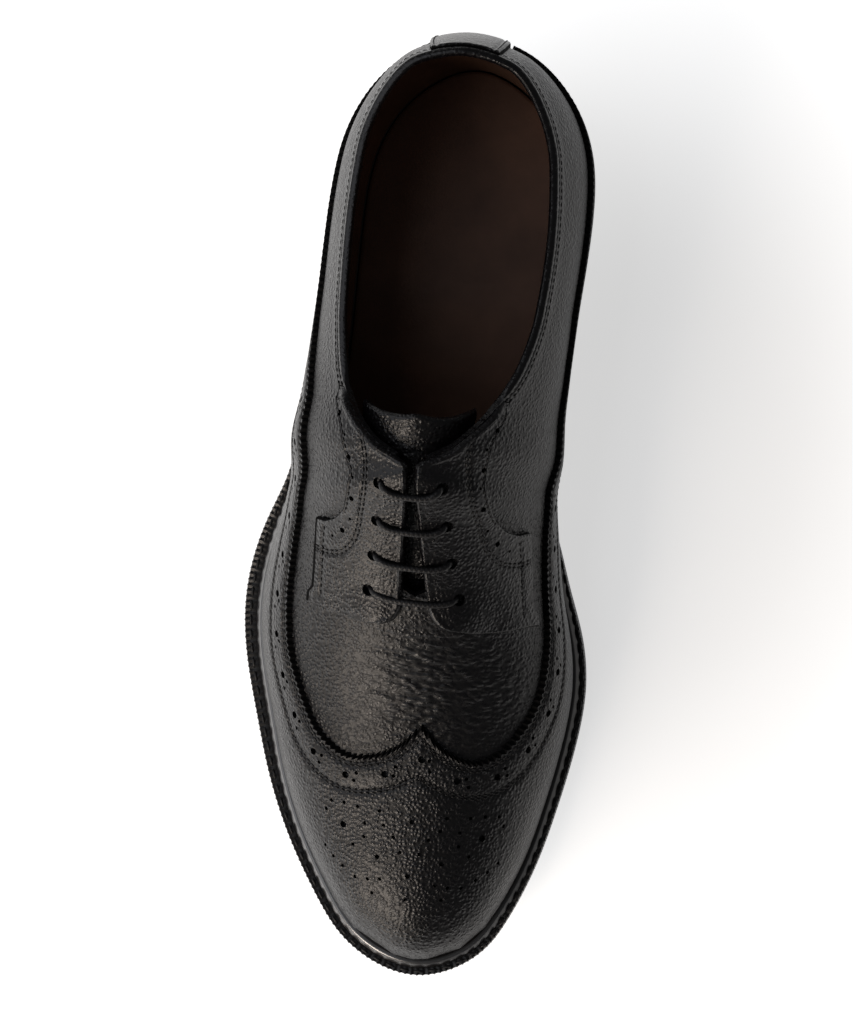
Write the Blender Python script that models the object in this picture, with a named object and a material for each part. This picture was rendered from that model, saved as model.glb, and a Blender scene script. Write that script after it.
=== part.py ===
"""Right shoe of a pair of black longwing derbies, in separate pieces around one last.

Lengths are in millimetres and become metres when a mesh is made. A station is a distance along the shoe, from
behind the heel towards the toe. Points are (x, y, z) with the medial side at +x, the heel at +y and the floor
at z = 0.
"""

import math

import bmesh
import bpy
import numpy as np

MM = 0.001

# Driving sizes of the sole, from the floor up
HEEL_BACK = 2.0
TOE_TIP = 296.0
HEEL_HEIGHT = 22.5
HEEL_LENGTH = 74.0
TOP_LIFT = 6.0
OUTSOLE = 6.2
WELT = 3.2
BEAD = 2.0
SOCK = 1.6
GAP = 0.3
SEAT = 0.4

# Leather of the upper
WALL = 2.2
OVERLAY = 1.2
TONGUE = 2.0
LACE_RADIUS = 1.1
EYELET_RADIUS = 2.1

# Underside of the outsole along the shoe: flat on the heel and under the ball, with arch and toe spring
SOLE_LINE = [
    (0.0, HEEL_HEIGHT),
    (HEEL_LENGTH + 4.0, HEEL_HEIGHT),
    (96.0, 19.0),
    (118.0, 12.6),
    (142.0, 5.6),
    (166.0, 1.0),
    (184.0, 0.0),
    (214.0, 0.0),
    (236.0, 1.3),
    (258.0, 4.4),
    (278.0, 8.9),
    (TOE_TIP, 14.0),
]

# Sections of the last from heel to toe. lateral and medial are the welt's edge, margin_* is how far the upper
# stands in from it, top_station, spread and top_height place the collar or the ridge of the vamp, lean_* is the
# outward lean of the wall at the welt, foot and crown are the fullness of its lower and upper part, rise is its
# slope at the collar, and fall is the slope of the ridge.
SECTION_COLUMNS = (
    "station", "lateral", "medial", "margin_lateral", "margin_medial", "top_station", "spread", "top_height",
    "lean_lateral", "lean_medial", "foot", "crown", "rise", "fall",
)
SECTIONS = [
    (HEEL_BACK, 1.8, 1.8, 6.0, 6.0, 15.0, 0.0, 95.5, 8.0, 8.0, 0.44, 0.34, 66.0, 0.0),
    (7.3, -13.2, 17.0, 5.4, 5.2, 18.0, 13.5, 94.0, 9.0, 11.0, 0.44, 0.34, 66.0, 0.0),
    (21.0, -26.8, 31.2, 4.6, 4.2, 28.5, 23.2, 90.5, 13.0, 16.0, 0.44, 0.34, 66.0, 0.0),
    (41.0, -34.4, 39.2, 4.0, 4.0, 45.0, 28.9, 86.3, 18.0, 20.0, 0.44, 0.34, 66.0, 0.0),
    (65.0, -36.2, 39.0, 4.0, 4.0, 67.0, 30.3, 83.8, 22.0, 23.0, 0.44, 0.34, 65.0, 0.0),
    (87.0, -36.6, 35.8, 4.2, 4.0, 87.5, 29.5, 83.3, 24.0, 29.0, 0.44, 0.34, 62.0, 0.0),
    (104.0, -37.8, 33.2, 4.6, 4.0, 104.0, 26.7, 85.3, 23.0, 35.0, 0.43, 0.35, 56.0, 0.0),
    (118.0, -40.4, 32.4, 5.0, 4.0, 118.0, 20.9, 89.2, 20.0, 38.0, 0.42, 0.36, 46.0, 0.0),
    (131.0, -45.4, 33.8, 5.8, 4.3, 129.0, 11.4, 94.2, 15.0, 38.0, 0.40, 0.35, 28.0, 0.2),
    (143.0, -48.8, 36.4, 6.6, 4.8, 137.0, 0.0, 95.7, 9.0, 34.0, 0.37, 0.32, 6.0, 0.4),
    (156.0, -53.8, 41.2, 7.6, 5.4, 149.0, 0.0, 86.8, 6.0, 27.0, 0.36, 0.31, 0.0, 0.72),
    (170.0, -57.6, 46.0, 8.3, 6.0, 163.0, 0.0, 77.0, 5.0, 19.0, 0.36, 0.34, 0.0, 0.67),
    (185.0, -58.7, 51.3, 8.5, 6.3, 179.0, 0.0, 67.0, 5.0, 12.0, 0.37, 0.38, 0.0, 0.56),
    (202.0, -56.4, 53.9, 8.3, 6.4, 193.0, 0.0, 60.0, 4.0, 8.0, 0.37, 0.42, 0.0, 0.44),
    (221.0, -51.2, 52.2, 8.0, 6.3, 202.0, 0.0, 56.5, 3.0, 6.0, 0.36, 0.44, 0.0, 0.38),
    (240.0, -45.0, 48.4, 7.6, 6.1, 206.5, 0.0, 54.9, 3.0, 5.0, 0.34, 0.46, 0.0, 0.36),
    (259.0, -36.1, 43.3, 7.2, 6.0, 208.5, 0.0, 54.2, 2.0, 3.0, 0.32, 0.47, 0.0, 0.36),
    (276.0, -25.2, 36.2, 7.0, 6.2, 209.3, 0.0, 53.9, 1.0, 1.0, 0.30, 0.48, 0.0, 0.36),
    (289.0, -12.8, 26.4, 6.8, 6.5, 209.6, 0.0, 53.8, 0.0, 0.0, 0.29, 0.48, 0.0, 0.36),
    (TOE_TIP, 7.5, 7.5, 6.8, 6.8, 209.7, 0.0, 53.77, 0.0, 0.0, 0.29, 0.48, 0.0, 0.36),
]
MEDIAL_RISE = 2.0

# Middle line of the collar and the ridge, seen from above
MIDDLE_LINE = [
    (15.0, 1.0), (45.0, 1.1), (67.0, 1.0), (87.5, 0.5), (104.0, -0.5), (118.0, -2.3), (129.0, -3.0), (137.0, -2.8),
    (149.0, -2.0), (163.0, -1.0), (179.0, 0.6), (193.0, 2.4), (209.7, 5.0),
]

# Slit of the throat, as half its width along the ridge: the upper's own, and the one between the facings
UPPER_SLIT = [(130.0, 4.5), (150.0, 5.0), (166.0, 5.5), (171.0, 4.0), (174.0, 0.0)]
FACING_SLIT = [(130.0, 1.7), (150.0, 1.8), (165.0, 3.0), (181.0, 4.6)]

# Width of the wing up from the welt, by section (row) and side
SIDE_COLUMNS = ("row", "lateral", "medial")
WING_WIDTH = [
    (0.0, 31.0, 31.0), (3.0, 29.0, 29.0), (4.0, 28.5, 28.5), (5.0, 30.5, 29.5), (6.0, 35.5, 32.0), (7.0, 41.0, 35.0),
    (8.0, 45.5, 37.5), (9.0, 47.8, 38.5), (10.0, 47.0, 37.5), (11.0, 44.4, 35.0), (12.0, 40.0, 33.2),
    (13.0, 36.4, 33.5), (14.0, 36.5, 37.4), (15.0, 44.0, 45.9), (16.0, 56.0, 61.0), (17.0, 71.5, 74.5),
    (18.0, 80.2, 82.0), (19.0, 85.8, 85.8),
]

# Depth of a facing down from the throat and collar, by section and side: it hooks out towards the wing
FACING_DEPTH = [
    (6.7, 3.0, 3.0), (7.0, 5.8, 5.8), (7.5, 8.2, 8.6), (8.0, 11.8, 13.0), (8.5, 17.3, 19.5), (9.0, 21.5, 25.0),
    (9.5, 22.8, 27.5), (9.75, 25.2, 30.0), (9.95, 34.5, 42.0), (10.2, 36.6, 46.5), (11.0, 36.0, 45.5),
    (12.0, 35.8, 42.5),
]
# Radius of its front corner, and its length for each section along it
FACING_CORNER = 8.0
FRONT_PITCH = 15.0

# Tongue: half its width along the ridge. It leaves the last's shape at TONGUE_TURN and runs on straight, and its
# free edge dips by TONGUE_DIP in the middle.
TONGUE_WIDTH = [(115.5, 18.0), (128.0, 19.0), (141.0, 21.0), (160.0, 21.0), (188.0, 15.0)]
TONGUE_TURN = 141.0
TONGUE_DIP = 9.5
TONGUE_RISE = 0.42
TONGUE_CURL = 0.26
TONGUE_LINES = 10
TONGUE_COLUMNS = 9

# Bars of the lace: station at the ridge, and how far its eyelets lie from the ridge. A bar sags towards the toe,
# and the last hidden run goes back to the top RETURN_RUN outside the eyelets.
LACE_BARS = [(139.0, 9.4), (149.5, 10.6), (160.0, 12.0), (170.5, 13.8)]
BAR_SAG = 3.0
RETURN_RUN = 4.0
CORNER_CUT = 0.2

# Half the width of the backstrap, as a share of the first section
BACKSTRAP_HALF = 0.70
# Highest t of an overlay that ends at the collar
COLLAR_T = 0.985
# Heel: inset of its sides at the top lift and at the seat, and the hollow of its breast
HEEL_BASE_SPAN = (TOP_LIFT + GAP, HEEL_HEIGHT - GAP)
HEEL_INSETS = (1.8, 0.6)
HEEL_BREAST = 3.0
BREAST_FADE = 6
HEEL_LINES = 15
# The welt's bead grows where the margin passes BEAD_FROM, over the next BEAD_OVER
BEAD_FROM = 5.0
BEAD_OVER = 1.5
BEAD_WIDTH = 2.0
BEAD_ROUND = 0.5
WELT_ROUND = 0.6
# Steps of each sheet from its lower to its upper edge
WALL_STEPS = 11
WING_STEPS = 10
FACING_STEPS = 10
STRAP_LINES = 7
STRAP_STEPS = 9
# Sections between which the top line turns from the collar into the closed ridge
COLLAR_ROW = 6.5
SLIT_ROW = 7.0
RIDGE_ROW = 9.0
ROWS = len(SECTIONS) - 1
LINES = 36
LEATHER = (0.012, 0.011, 0.012)
LINING = (0.05, 0.03, 0.02)
RUBBER = (0.008, 0.008, 0.008)


def monotone(table, x):
    """Smooth curve through a two-column table that never overshoots its rows."""
    knots, values = np.array(table, float).T
    step = np.diff(knots)
    slope = np.diff(values) / step
    inner = np.zeros(len(knots))
    left, right = slope[:-1], slope[1:]
    weight = 3 * (step[:-1] + step[1:])
    w1 = step[:-1] + 2 * step[1:]
    w2 = 2 * step[:-1] + step[1:]
    same = left * right > 0
    bottom = w1 * np.where(same, right, 1) + w2 * np.where(same, left, 1)
    inner[1:-1] = np.where(same, weight * left * right / bottom, 0)
    inner[0], inner[-1] = slope[0], slope[-1]
    x = np.clip(x, knots[0], knots[-1])
    k = np.clip(np.searchsorted(knots, x, side="right") - 1, 0, len(step) - 1)
    h = step[k]
    f = (x - knots[k]) / h
    return (
        values[k] * (1 + 2 * f) * (1 - f) ** 2
        + inner[k] * h * f * (1 - f) ** 2
        + values[k + 1] * f * f * (3 - 2 * f)
        + inner[k + 1] * h * f * f * (f - 1)
    )


def around(lateral, medial):
    """Values of the sections in one ring: heel, lateral side, toe, medial side."""
    return np.concatenate([lateral, medial[-2:0:-1]])


def ring_round(values, p):
    """Curve of even bend through a ring of values, at ring positions p."""
    count = len(values)
    ring = np.eye(count)
    bend = np.linalg.solve(
        4 * ring + np.roll(ring, 1, 0) + np.roll(ring, -1, 0),
        6 * (np.roll(values, 1) - 2 * values + np.roll(values, -1)),
    )
    k = np.floor(p).astype(int)
    f = p - k
    a, b = k % count, (k + 1) % count
    g = 1 - f
    return values[a] * g + values[b] * f + (bend[a] * (g**3 - g) + bend[b] * (f**3 - f)) / 6


def ring_monotone(values, p):
    """Curve through a ring of values that never overshoots them, at ring positions p."""
    count = len(values)
    before = values - np.roll(values, 1)
    after = np.roll(before, -1)
    same = before * after > 0
    slope = np.where(same, 2 * before * after / np.where(same, before + after, 1), 0)
    k = np.floor(p).astype(int)
    f = p - k
    a, b = k % count, (k + 1) % count
    return (
        values[a] * (1 + 2 * f) * (1 - f) ** 2
        + slope[a] * f * (1 - f) ** 2
        + values[b] * f * f * (3 - 2 * f)
        + slope[b] * f * f * (f - 1)
    )


def column(name):
    return np.array([row[SECTION_COLUMNS.index(name)] for row in SECTIONS])


def ring_column(lateral, medial=None):
    return around(column(lateral), column(medial or lateral))


RING = {
    "x": ring_column("lateral", "medial"),
    "station": ring_column("station"),
    "margin": ring_column("margin_lateral", "margin_medial"),
    "lean": ring_column("lean_lateral", "lean_medial"),
    "foot": ring_column("foot"),
    "crown": ring_column("crown"),
    "rise": ring_column("rise"),
    "fall": ring_column("fall"),
    "top_station": ring_column("top_station"),
    "spread": around(-column("spread"), column("spread")),
    "top_height": around(column("top_height"), column("top_height") + MEDIAL_RISE * column("spread") / 30.0),
}


def row_of(p):
    """Section number at a ring position, the same on both sides."""
    p = np.mod(p, 2 * ROWS)
    return np.minimum(p, 2 * ROWS - p)


def sole_height(station):
    return monotone(SOLE_LINE, station)


def inward(p):
    """Direction into the shoe, square to the welt's outline, seen from above."""
    step = 1e-3
    along = outline_at(p + step) - outline_at(p - step)
    along /= np.linalg.norm(along, axis=-1, keepdims=True)
    return np.stack([-along[..., 1], along[..., 0]], -1)


def outline_at(p):
    return np.stack([ring_round(RING["x"], p), -ring_round(RING["station"], p)], -1)


def edge(p, inset):
    """Point of the welt's outline, moved in by inset, seen from above."""
    return outline_at(p) + inward(p) * np.asarray(inset)[..., None]


def feather(p):
    """Line where the upper meets the welt."""
    plan = edge(p, ring_round(RING["margin"], p))
    height = sole_height(-plan[..., 1]) + OUTSOLE + WELT + 2 * GAP
    return np.concatenate([plan, height[..., None]], -1)


def top_line(p):
    """Collar at the back, ridge of the vamp at the front."""
    station = ring_monotone(RING["top_station"], p)
    x = monotone(MIDDLE_LINE, station) + ring_monotone(RING["spread"], p)
    return np.stack([x, -station, ring_monotone(RING["top_height"], p)], -1)


def last_point(p, t):
    """Outside of the upper: t runs from the welt, 0, to the collar or ridge, 1."""
    p, t = np.broadcast_arrays(np.asarray(p, float), np.asarray(t, float))
    low, high = feather(p), top_line(p)
    square = inward(p)
    across = (high - low)[..., :2]
    across = across / np.linalg.norm(across, axis=-1, keepdims=True)
    closed = np.clip((row_of(p) - COLLAR_ROW) / (RIDGE_ROW - COLLAR_ROW), 0, 1)[..., None]
    across = square * (1 - closed) + across * closed
    across /= np.linalg.norm(across, axis=-1, keepdims=True)
    chord = np.linalg.norm(high - low, axis=-1)[..., None]
    lean = np.radians(ring_round(RING["lean"], p))[..., None]
    fall = ring_monotone(RING["fall"], p)[..., None] * across[..., 1:]
    rise = np.radians(ring_monotone(RING["rise"], p))[..., None] + np.arctan(fall)
    start = np.concatenate([-square * np.sin(lean), np.cos(lean)], -1)
    end = np.concatenate([across * np.cos(rise), np.sin(rise)], -1)
    second = low + start * chord * ring_round(RING["foot"], p)[..., None]
    third = high - end * chord * ring_round(RING["crown"], p)[..., None]
    t = t[..., None]
    return (1 - t) ** 3 * low + 3 * t * (1 - t) ** 2 * second + 3 * t * t * (1 - t) * third + t**3 * high


def last_normal(p, t):
    p, t = np.broadcast_arrays(np.asarray(p, float), np.asarray(t, float))
    t = np.clip(t, 0.004, 0.996)
    step = 2e-3
    along = last_point(p + step, t) - last_point(p - step, t)
    up = last_point(p, t + step) - last_point(p, t - step)
    normal = np.cross(along, up)
    return normal / np.linalg.norm(normal, axis=-1, keepdims=True)


def raised(p, t, height):
    """Point that far outside the upper, or inside it where height is negative."""
    shared = 0.5 * (last_normal(p, t) + last_normal(2 * ROWS - np.asarray(p), t))
    shared /= np.linalg.norm(shared, axis=-1, keepdims=True)
    closed = (np.asarray(t) > 0.9999) & (row_of(p) > RIDGE_ROW)
    normal = np.where(closed[..., None], shared, last_normal(p, t))
    return last_point(p, t) + normal * np.asarray(height)[..., None]


def by_side(table, p):
    """Value of a table by section and side, at ring positions p."""
    row, lateral, medial = (np.array(table)[:, SIDE_COLUMNS.index(name)] for name in SIDE_COLUMNS)
    lateral = monotone(np.stack([row, lateral], 1), row_of(p))
    medial = monotone(np.stack([row, medial], 1), row_of(p))
    return np.where(np.mod(p, 2 * ROWS) <= ROWS, lateral, medial)


def wall_runs(p):
    """Even steps of t, and the distance up the wall at each of them, for each p."""
    fine = np.linspace(0, 1, 161)
    line = last_point(np.atleast_1d(p)[:, None], fine[None])
    step = np.linalg.norm(np.diff(line, axis=1), axis=2)
    return fine, np.concatenate([np.zeros((len(line), 1)), np.cumsum(step, axis=1)], 1)


def t_from_welt(p, distance):
    """t at a distance up the wall from the welt, for each p."""
    fine, runs = wall_runs(p)
    wanted = np.broadcast_to(distance, len(runs))
    return np.array([np.interp(far, run, fine) for far, run in zip(wanted, runs)])


def t_from_top(p, distance):
    """t at a distance down the wall from the collar or ridge, for each p."""
    fine, runs = wall_runs(p)
    wanted = runs[:, -1] - distance
    return np.array([np.interp(far, run, fine) for far, run in zip(wanted, runs)])


def t_at_slit(p, slit, more=0.0):
    """t where a line meets the edge of the throat's slit. It is 1 along the collar and past the slit."""
    p = np.atleast_1d(p)
    station = -top_line(p)[..., 1]
    half = np.where(row_of(p) > SLIT_ROW, monotone(slit, station), 0) + more
    spread = np.abs(ring_monotone(RING["spread"], p))
    return t_from_top(p, np.clip(half - spread, 0, None))


def row_at_station(station):
    """Section number whose ridge or collar point lies at a station."""
    fine = np.linspace(0, ROWS, 761)
    return np.interp(station, -top_line(fine)[:, 1], fine)


def principled(name, colour, roughness):
    material = bpy.data.materials.new(name)
    material.use_nodes = True
    shader = material.node_tree.nodes["Principled BSDF"]
    shader.inputs["Base Color"].default_value = (*colour, 1.0)
    shader.inputs["Roughness"].default_value = roughness
    shader.inputs["Metallic"].default_value = 0.0
    return material


def grid_quads(grid):
    grid = np.asarray(grid)
    return np.stack([grid[:-1, :-1], grid[1:, :-1], grid[1:, 1:], grid[:-1, 1:]], 2).reshape(-1, 4, 3)


def add_solid(name, grids, material, centre):
    """One object from grids of points in millimetres, joined where their points meet."""
    quads = np.concatenate([grid_quads(grid) for grid in grids])
    points = (quads.reshape(-1, 3) - centre) * MM
    places = np.round(points * 1e7).astype(np.int64)
    _, first, index = np.unique(places, axis=0, return_index=True, return_inverse=True)
    faces = []
    for corners in index.reshape(-1, 4):
        ring = [corner for k, corner in enumerate(corners) if corner != corners[k - 1]]
        if len(ring) > 2 and len(set(ring)) == len(ring):
            faces.append(ring)
    mesh = bpy.data.meshes.new(name)
    mesh.from_pydata(points[first].tolist(), [], [[int(corner) for corner in ring] for ring in faces])
    mesh.materials.append(material)
    work = bmesh.new()
    work.from_mesh(mesh)
    bmesh.ops.recalc_face_normals(work, faces=work.faces)
    work.to_mesh(mesh)
    work.free()
    mesh.shade_smooth()
    mesh.set_sharp_from_angle(angle=math.radians(35))
    piece = bpy.data.objects.new(name, mesh)
    bpy.context.scene.collection.objects.link(piece)
    return piece


def shell_grids(outer, inner):
    """A sheet with two faces and four closed edges."""
    return [
        outer,
        inner,
        np.stack([outer[0], inner[0]]),
        np.stack([outer[-1], inner[-1]]),
        np.stack([outer[:, 0], inner[:, 0]]),
        np.stack([outer[:, -1], inner[:, -1]]),
    ]


def ladder(rows, insets, heights, columns=3, hollow=0.0):
    """Plate between the two sides of the outline: insets and heights are its underside's and its top's."""
    faces = []
    for inset, height in zip(insets, heights):
        left = edge(rows, inset(rows))
        right = edge(2 * ROWS - rows, inset(2 * ROWS - rows))
        share = np.linspace(0, 1, columns)[None, :, None]
        plan = left[:, None] * (1 - share) + right[:, None] * share
        bow = hollow * (1 - (2 * share[..., 0] - 1) ** 2) * np.linspace(0, 1, len(rows))[:, None] ** BREAST_FADE
        plan[..., 1] += bow
        faces.append(np.concatenate([plan, height(-plan[..., 1:])], -1))
    return shell_grids(*faces)


def flat(height):
    return lambda station: np.full(np.shape(station), float(height))


def over_sole(height):
    return lambda station: sole_height(station) + height


def inset_by(distance):
    return lambda p: np.full(np.shape(p), float(distance))


def in_from_welt(distance):
    return lambda p: ring_round(RING["margin"], p) + distance


def sides(rows):
    """Ring positions of the same sections on the lateral and on the medial side."""
    return rows, 2 * ROWS - rows


def outsole_grids(rows):
    return ladder(rows, [inset_by(0)] * 2, [over_sole(0), over_sole(OUTSOLE)])


def heel_grids(rows, low, high, insets):
    return ladder(rows, [inset_by(inset) for inset in insets], [flat(low), flat(high)], 5, HEEL_BREAST)


def insole_grids(rows):
    inset = in_from_welt(WALL + 2 * GAP)
    return ladder(rows, [inset] * 2, [over_sole(OUTSOLE + GAP), over_sole(OUTSOLE + WELT + 2 * GAP + SOCK)])


def welt_grids(p):
    """Ring with a flat top, a rounded edge and a bead against the upper where the margin leaves room for it."""
    margin = ring_round(RING["margin"], p)
    bead = BEAD * np.clip((margin - BEAD_FROM) / BEAD_OVER, 0, 1)
    skirt = SEAT + OVERLAY + GAP
    lean = np.tan(np.radians(np.clip(ring_round(RING["lean"], p), 0, 90))) * bead
    foot = np.minimum(skirt + lean, margin - BEAD_WIDTH - WELT_ROUND)
    none = np.zeros(p.shape)
    profile = [
        (-WALL, none), (margin, none), (margin, none + WELT - WELT_ROUND), (margin - WELT_ROUND, none + WELT),
        (foot + BEAD_WIDTH, none + WELT), (foot + BEAD_WIDTH - BEAD_ROUND, WELT + bead),
        (foot + BEAD_ROUND, WELT + bead), (foot, none + WELT), (-WALL, none + WELT), (-WALL, none),
    ]
    lines = []
    for out, height in profile:
        plan = edge(p, margin - out)
        base = sole_height(-plan[..., 1]) + OUTSOLE + GAP
        lines.append(np.concatenate([plan, (base + height)[:, None]], -1))
    return [np.stack(lines, 1)]


def upper_grids(rows):
    """Vamp and quarters: two sides that share the heel, the toe and the closed part of the ridge."""
    grids = []
    closed = row_at_station(UPPER_SLIT[-1][0])
    for p in sides(rows):
        t = np.linspace(0, 1, WALL_STEPS) * t_at_slit(p, UPPER_SLIT)[:, None]
        t[rows >= closed - 1e-6, -1] = 1.0
        outer = raised(p[:, None], t, np.zeros(t.shape))
        inner = raised(p[:, None], t, np.full(t.shape, -WALL))
        open_rows = rows <= closed + 1e-6
        grids += [outer, inner, np.stack([outer[:, 0], inner[:, 0]])]
        grids.append(np.stack([outer[open_rows, -1], inner[open_rows, -1]]))
    return grids


def overlay_grids(p, low, high, steps):
    """Sheet of leather on the upper between two t values for each line p."""
    share = np.linspace(0, 1, steps)
    t = low[:, None] * (1 - share) + high[:, None] * share
    outer = raised(p[:, None], t, np.full(t.shape, SEAT + OVERLAY))
    inner = raised(p[:, None], t, np.full(t.shape, SEAT))
    return shell_grids(outer, inner)


def skirt_start(p):
    """t where an overlay starts, just clear of the welt."""
    lean = np.radians(np.clip(ring_round(RING["lean"], p), 0, 90))
    return t_from_welt(p, GAP + (SEAT + OVERLAY) * np.sin(lean) * 1.2)


def wing_grids(rows):
    lateral = np.concatenate([[BACKSTRAP_HALF + 0.03], rows[rows > BACKSTRAP_HALF + 0.1]])
    p = np.concatenate([lateral, 2 * ROWS - lateral[-2::-1]])
    return overlay_grids(p, skirt_start(p), t_from_welt(p, by_side(WING_WIDTH, p)), WING_STEPS)


def backstrap_grids():
    p = np.linspace(-BACKSTRAP_HALF, BACKSTRAP_HALF, STRAP_LINES)
    return overlay_grids(p, skirt_start(p), np.full(p.shape, COLLAR_T), STRAP_STEPS)


def facing_grids(rows, side):
    first, last = FACING_DEPTH[0][0], FACING_DEPTH[-1][0]
    picked = np.concatenate([[first], rows[(rows > first + 0.1) & (rows < last - 0.1)], [last - 0.15, last]])
    p = sides(picked)[side]
    from_front = (last - picked) * FRONT_PITCH
    from_arc = np.clip(FACING_CORNER - from_front, 0, None)
    round_off = FACING_CORNER - np.sqrt(FACING_CORNER**2 - from_arc**2)
    high = np.minimum(t_at_slit(p, FACING_SLIT, round_off), COLLAR_T)
    low = np.maximum(t_from_top(p, by_side(FACING_DEPTH, p)), t_from_welt(p, by_side(WING_WIDTH, p) + 2 * GAP))
    return overlay_grids(p, low, high, FACING_STEPS)


def under_tongue(station, along, depth):
    """Point under the facings, along mm from the ridge (lateral side negative)."""
    turn = np.maximum(station, TONGUE_TURN)
    row = row_at_station(turn)
    p = np.where(along < 0, row, 2 * ROWS - row)
    t = np.array([t_from_top(one, abs(far))[0] for one, far in zip(p.ravel(), along.ravel())]).reshape(p.shape)
    point = raised(p, t, -np.asarray(depth))
    back = turn - station
    point[..., 1] += back
    point[..., 2] += back * (TONGUE_RISE - TONGUE_CURL * (along / TONGUE_WIDTH[0][1]) ** 2)
    return point


def tongue_grids():
    first, last = TONGUE_WIDTH[0][0], TONGUE_WIDTH[-1][0]
    station = np.linspace(first, last, TONGUE_LINES)
    share = np.linspace(-1, 1, TONGUE_COLUMNS)
    along = monotone(TONGUE_WIDTH, station)[:, None] * share
    free = np.clip((TONGUE_TURN - station) / (TONGUE_TURN - first), 0, 1)
    places = station[:, None] + TONGUE_DIP * (1 - share**2) * free[:, None]
    top = WALL + 4 * GAP + 2 * LACE_RADIUS
    outer = under_tongue(places, along, np.full(along.shape, top))
    inner = under_tongue(places, along, np.full(along.shape, top + TONGUE))
    return shell_grids(outer, inner)


def on_facing(station, along, height):
    row = row_at_station(station)
    p = row if along < 0 else 2 * ROWS - row
    t = t_from_top(p, abs(along))
    return raised(np.atleast_1d(p), t, np.array([height]))[0]


def lace_route():
    """Four bars in one serpentine, with the runs between them under the facings and both ends at the top."""
    above = SEAT + OVERLAY + GAP + LACE_RADIUS
    below = -(WALL + 3 * GAP + LACE_RADIUS)
    route = []
    for number, (station, half) in enumerate(LACE_BARS):
        way = -1 if number % 2 == 0 else 1
        route += [on_facing(station, way * half, below), on_facing(station, way * half, above)]
        for share in (0.6, 0.0, -0.6):
            sag = BAR_SAG * (1 - share * share)
            route.append(on_facing(station + sag, way * half * share - 1e-3, above))
        route += [on_facing(station, -way * half, above), on_facing(station, -way * half, below)]
    for station, half in LACE_BARS[::-1]:
        route.append(on_facing(station, -half - RETURN_RUN, below))
    return np.array(route)


def rounded_route(route):
    """The route with each corner cut into two softer ones."""
    ahead = route[:-1] * (1 - CORNER_CUT) + route[1:] * CORNER_CUT
    behind = route[:-1] * CORNER_CUT + route[1:] * (1 - CORNER_CUT)
    cut = np.stack([ahead, behind], 1).reshape(-1, 3)
    return np.concatenate([route[:1], cut[1:-1], route[-1:]])


def add_lace(material, centre):
    points = (rounded_route(lace_route()) - centre) * MM
    curve = bpy.data.curves.new("lace", "CURVE")
    curve.dimensions = "3D"
    curve.bevel_depth = LACE_RADIUS * MM
    curve.bevel_resolution = 2
    curve.use_fill_caps = True
    spline = curve.splines.new("POLY")
    spline.points.add(len(points) - 1)
    for place, point in zip(spline.points, points):
        place.co = (*point, 1.0)
    curve.materials.append(material)
    piece = bpy.data.objects.new("lace", curve)
    bpy.context.scene.collection.objects.link(piece)
    return piece


def eyelet_grids():
    """Round cutters through facing and upper, one for each end of a bar."""
    grids = []
    turn = np.linspace(0, 2 * math.pi, 13)
    for station, half in LACE_BARS:
        for along in (-half, half):
            low, high = on_facing(station, along, -5.0), on_facing(station, along, 4.0)
            axis = (high - low) / np.linalg.norm(high - low)
            side = np.cross(axis, (0.0, 1.0, 0.0))
            side /= np.linalg.norm(side)
            other = np.cross(axis, side)
            circle = EYELET_RADIUS * (np.cos(turn)[:, None] * side + np.sin(turn)[:, None] * other)
            circle[-1] = circle[0]
            grids += [np.stack([low + circle, high + circle])]
            grids += [np.stack([end + circle, end + 0 * circle]) for end in (low, high)]
    return grids


def cut(piece, cutter):
    hole = piece.modifiers.new("eyelets", "BOOLEAN")
    hole.operation = "DIFFERENCE"
    hole.object = cutter


for thing in list(bpy.data.objects):
    bpy.data.objects.remove(thing)

leather = principled("grained leather", LEATHER, 0.42)
edge_leather = principled("edge-dressed sole leather", LEATHER, 0.35)
lining = principled("sock leather", LINING, 0.6)
rubber = principled("heel rubber", RUBBER, 0.7)
cord = principled("waxed cord", LEATHER, 0.5)

ring = np.linspace(0, 2 * ROWS, 4 * ROWS * 8)
outline = edge(ring, 0 * ring)
middle = (outline.max(axis=0) + outline.min(axis=0)) / 2
centre = np.array([middle[0], middle[1], 0.0])

rows = np.unique(np.append(np.linspace(0, ROWS, LINES + 1), row_at_station(UPPER_SLIT[-1][0])))
heel_end = np.interp(HEEL_LENGTH, column("station"), np.arange(ROWS + 1))
heel_rows = np.linspace(0, heel_end, HEEL_LINES)
ring_lines = np.linspace(0, 2 * ROWS, 2 * LINES + 1)
ring_lines[-1] = 0

pieces = [
    add_solid("outsole", outsole_grids(rows), edge_leather, centre),
    add_solid("heel_base", heel_grids(heel_rows, *HEEL_BASE_SPAN, HEEL_INSETS), edge_leather, centre),
    add_solid("heel_top_lift", heel_grids(heel_rows, 0.0, TOP_LIFT, HEEL_INSETS[:1] * 2), rubber, centre),
    add_solid("welt", welt_grids(ring_lines), edge_leather, centre),
    add_solid("insole", insole_grids(rows), lining, centre),
    add_solid("upper", upper_grids(rows), leather, centre),
    add_solid("wing", wing_grids(rows), leather, centre),
    add_solid("backstrap", backstrap_grids(), leather, centre),
    add_solid("facing_lateral", facing_grids(rows, 0), leather, centre),
    add_solid("facing_medial", facing_grids(rows, 1), leather, centre),
    add_solid("tongue", tongue_grids(), leather, centre),
    add_lace(cord, centre),
]
eyelets = add_solid("eyelet_cutter", eyelet_grids(), leather, centre)
eyelets.hide_render = True
eyelets.display_type = "WIRE"
for piece in pieces:
    if piece.name in ("upper", "facing_lateral", "facing_medial"):
        cut(piece, eyelets)

shoe = bpy.data.objects.new("shoe", None)
bpy.context.scene.collection.objects.link(shoe)
for piece in [*pieces, eyelets]:
    piece.parent = shoe
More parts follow.
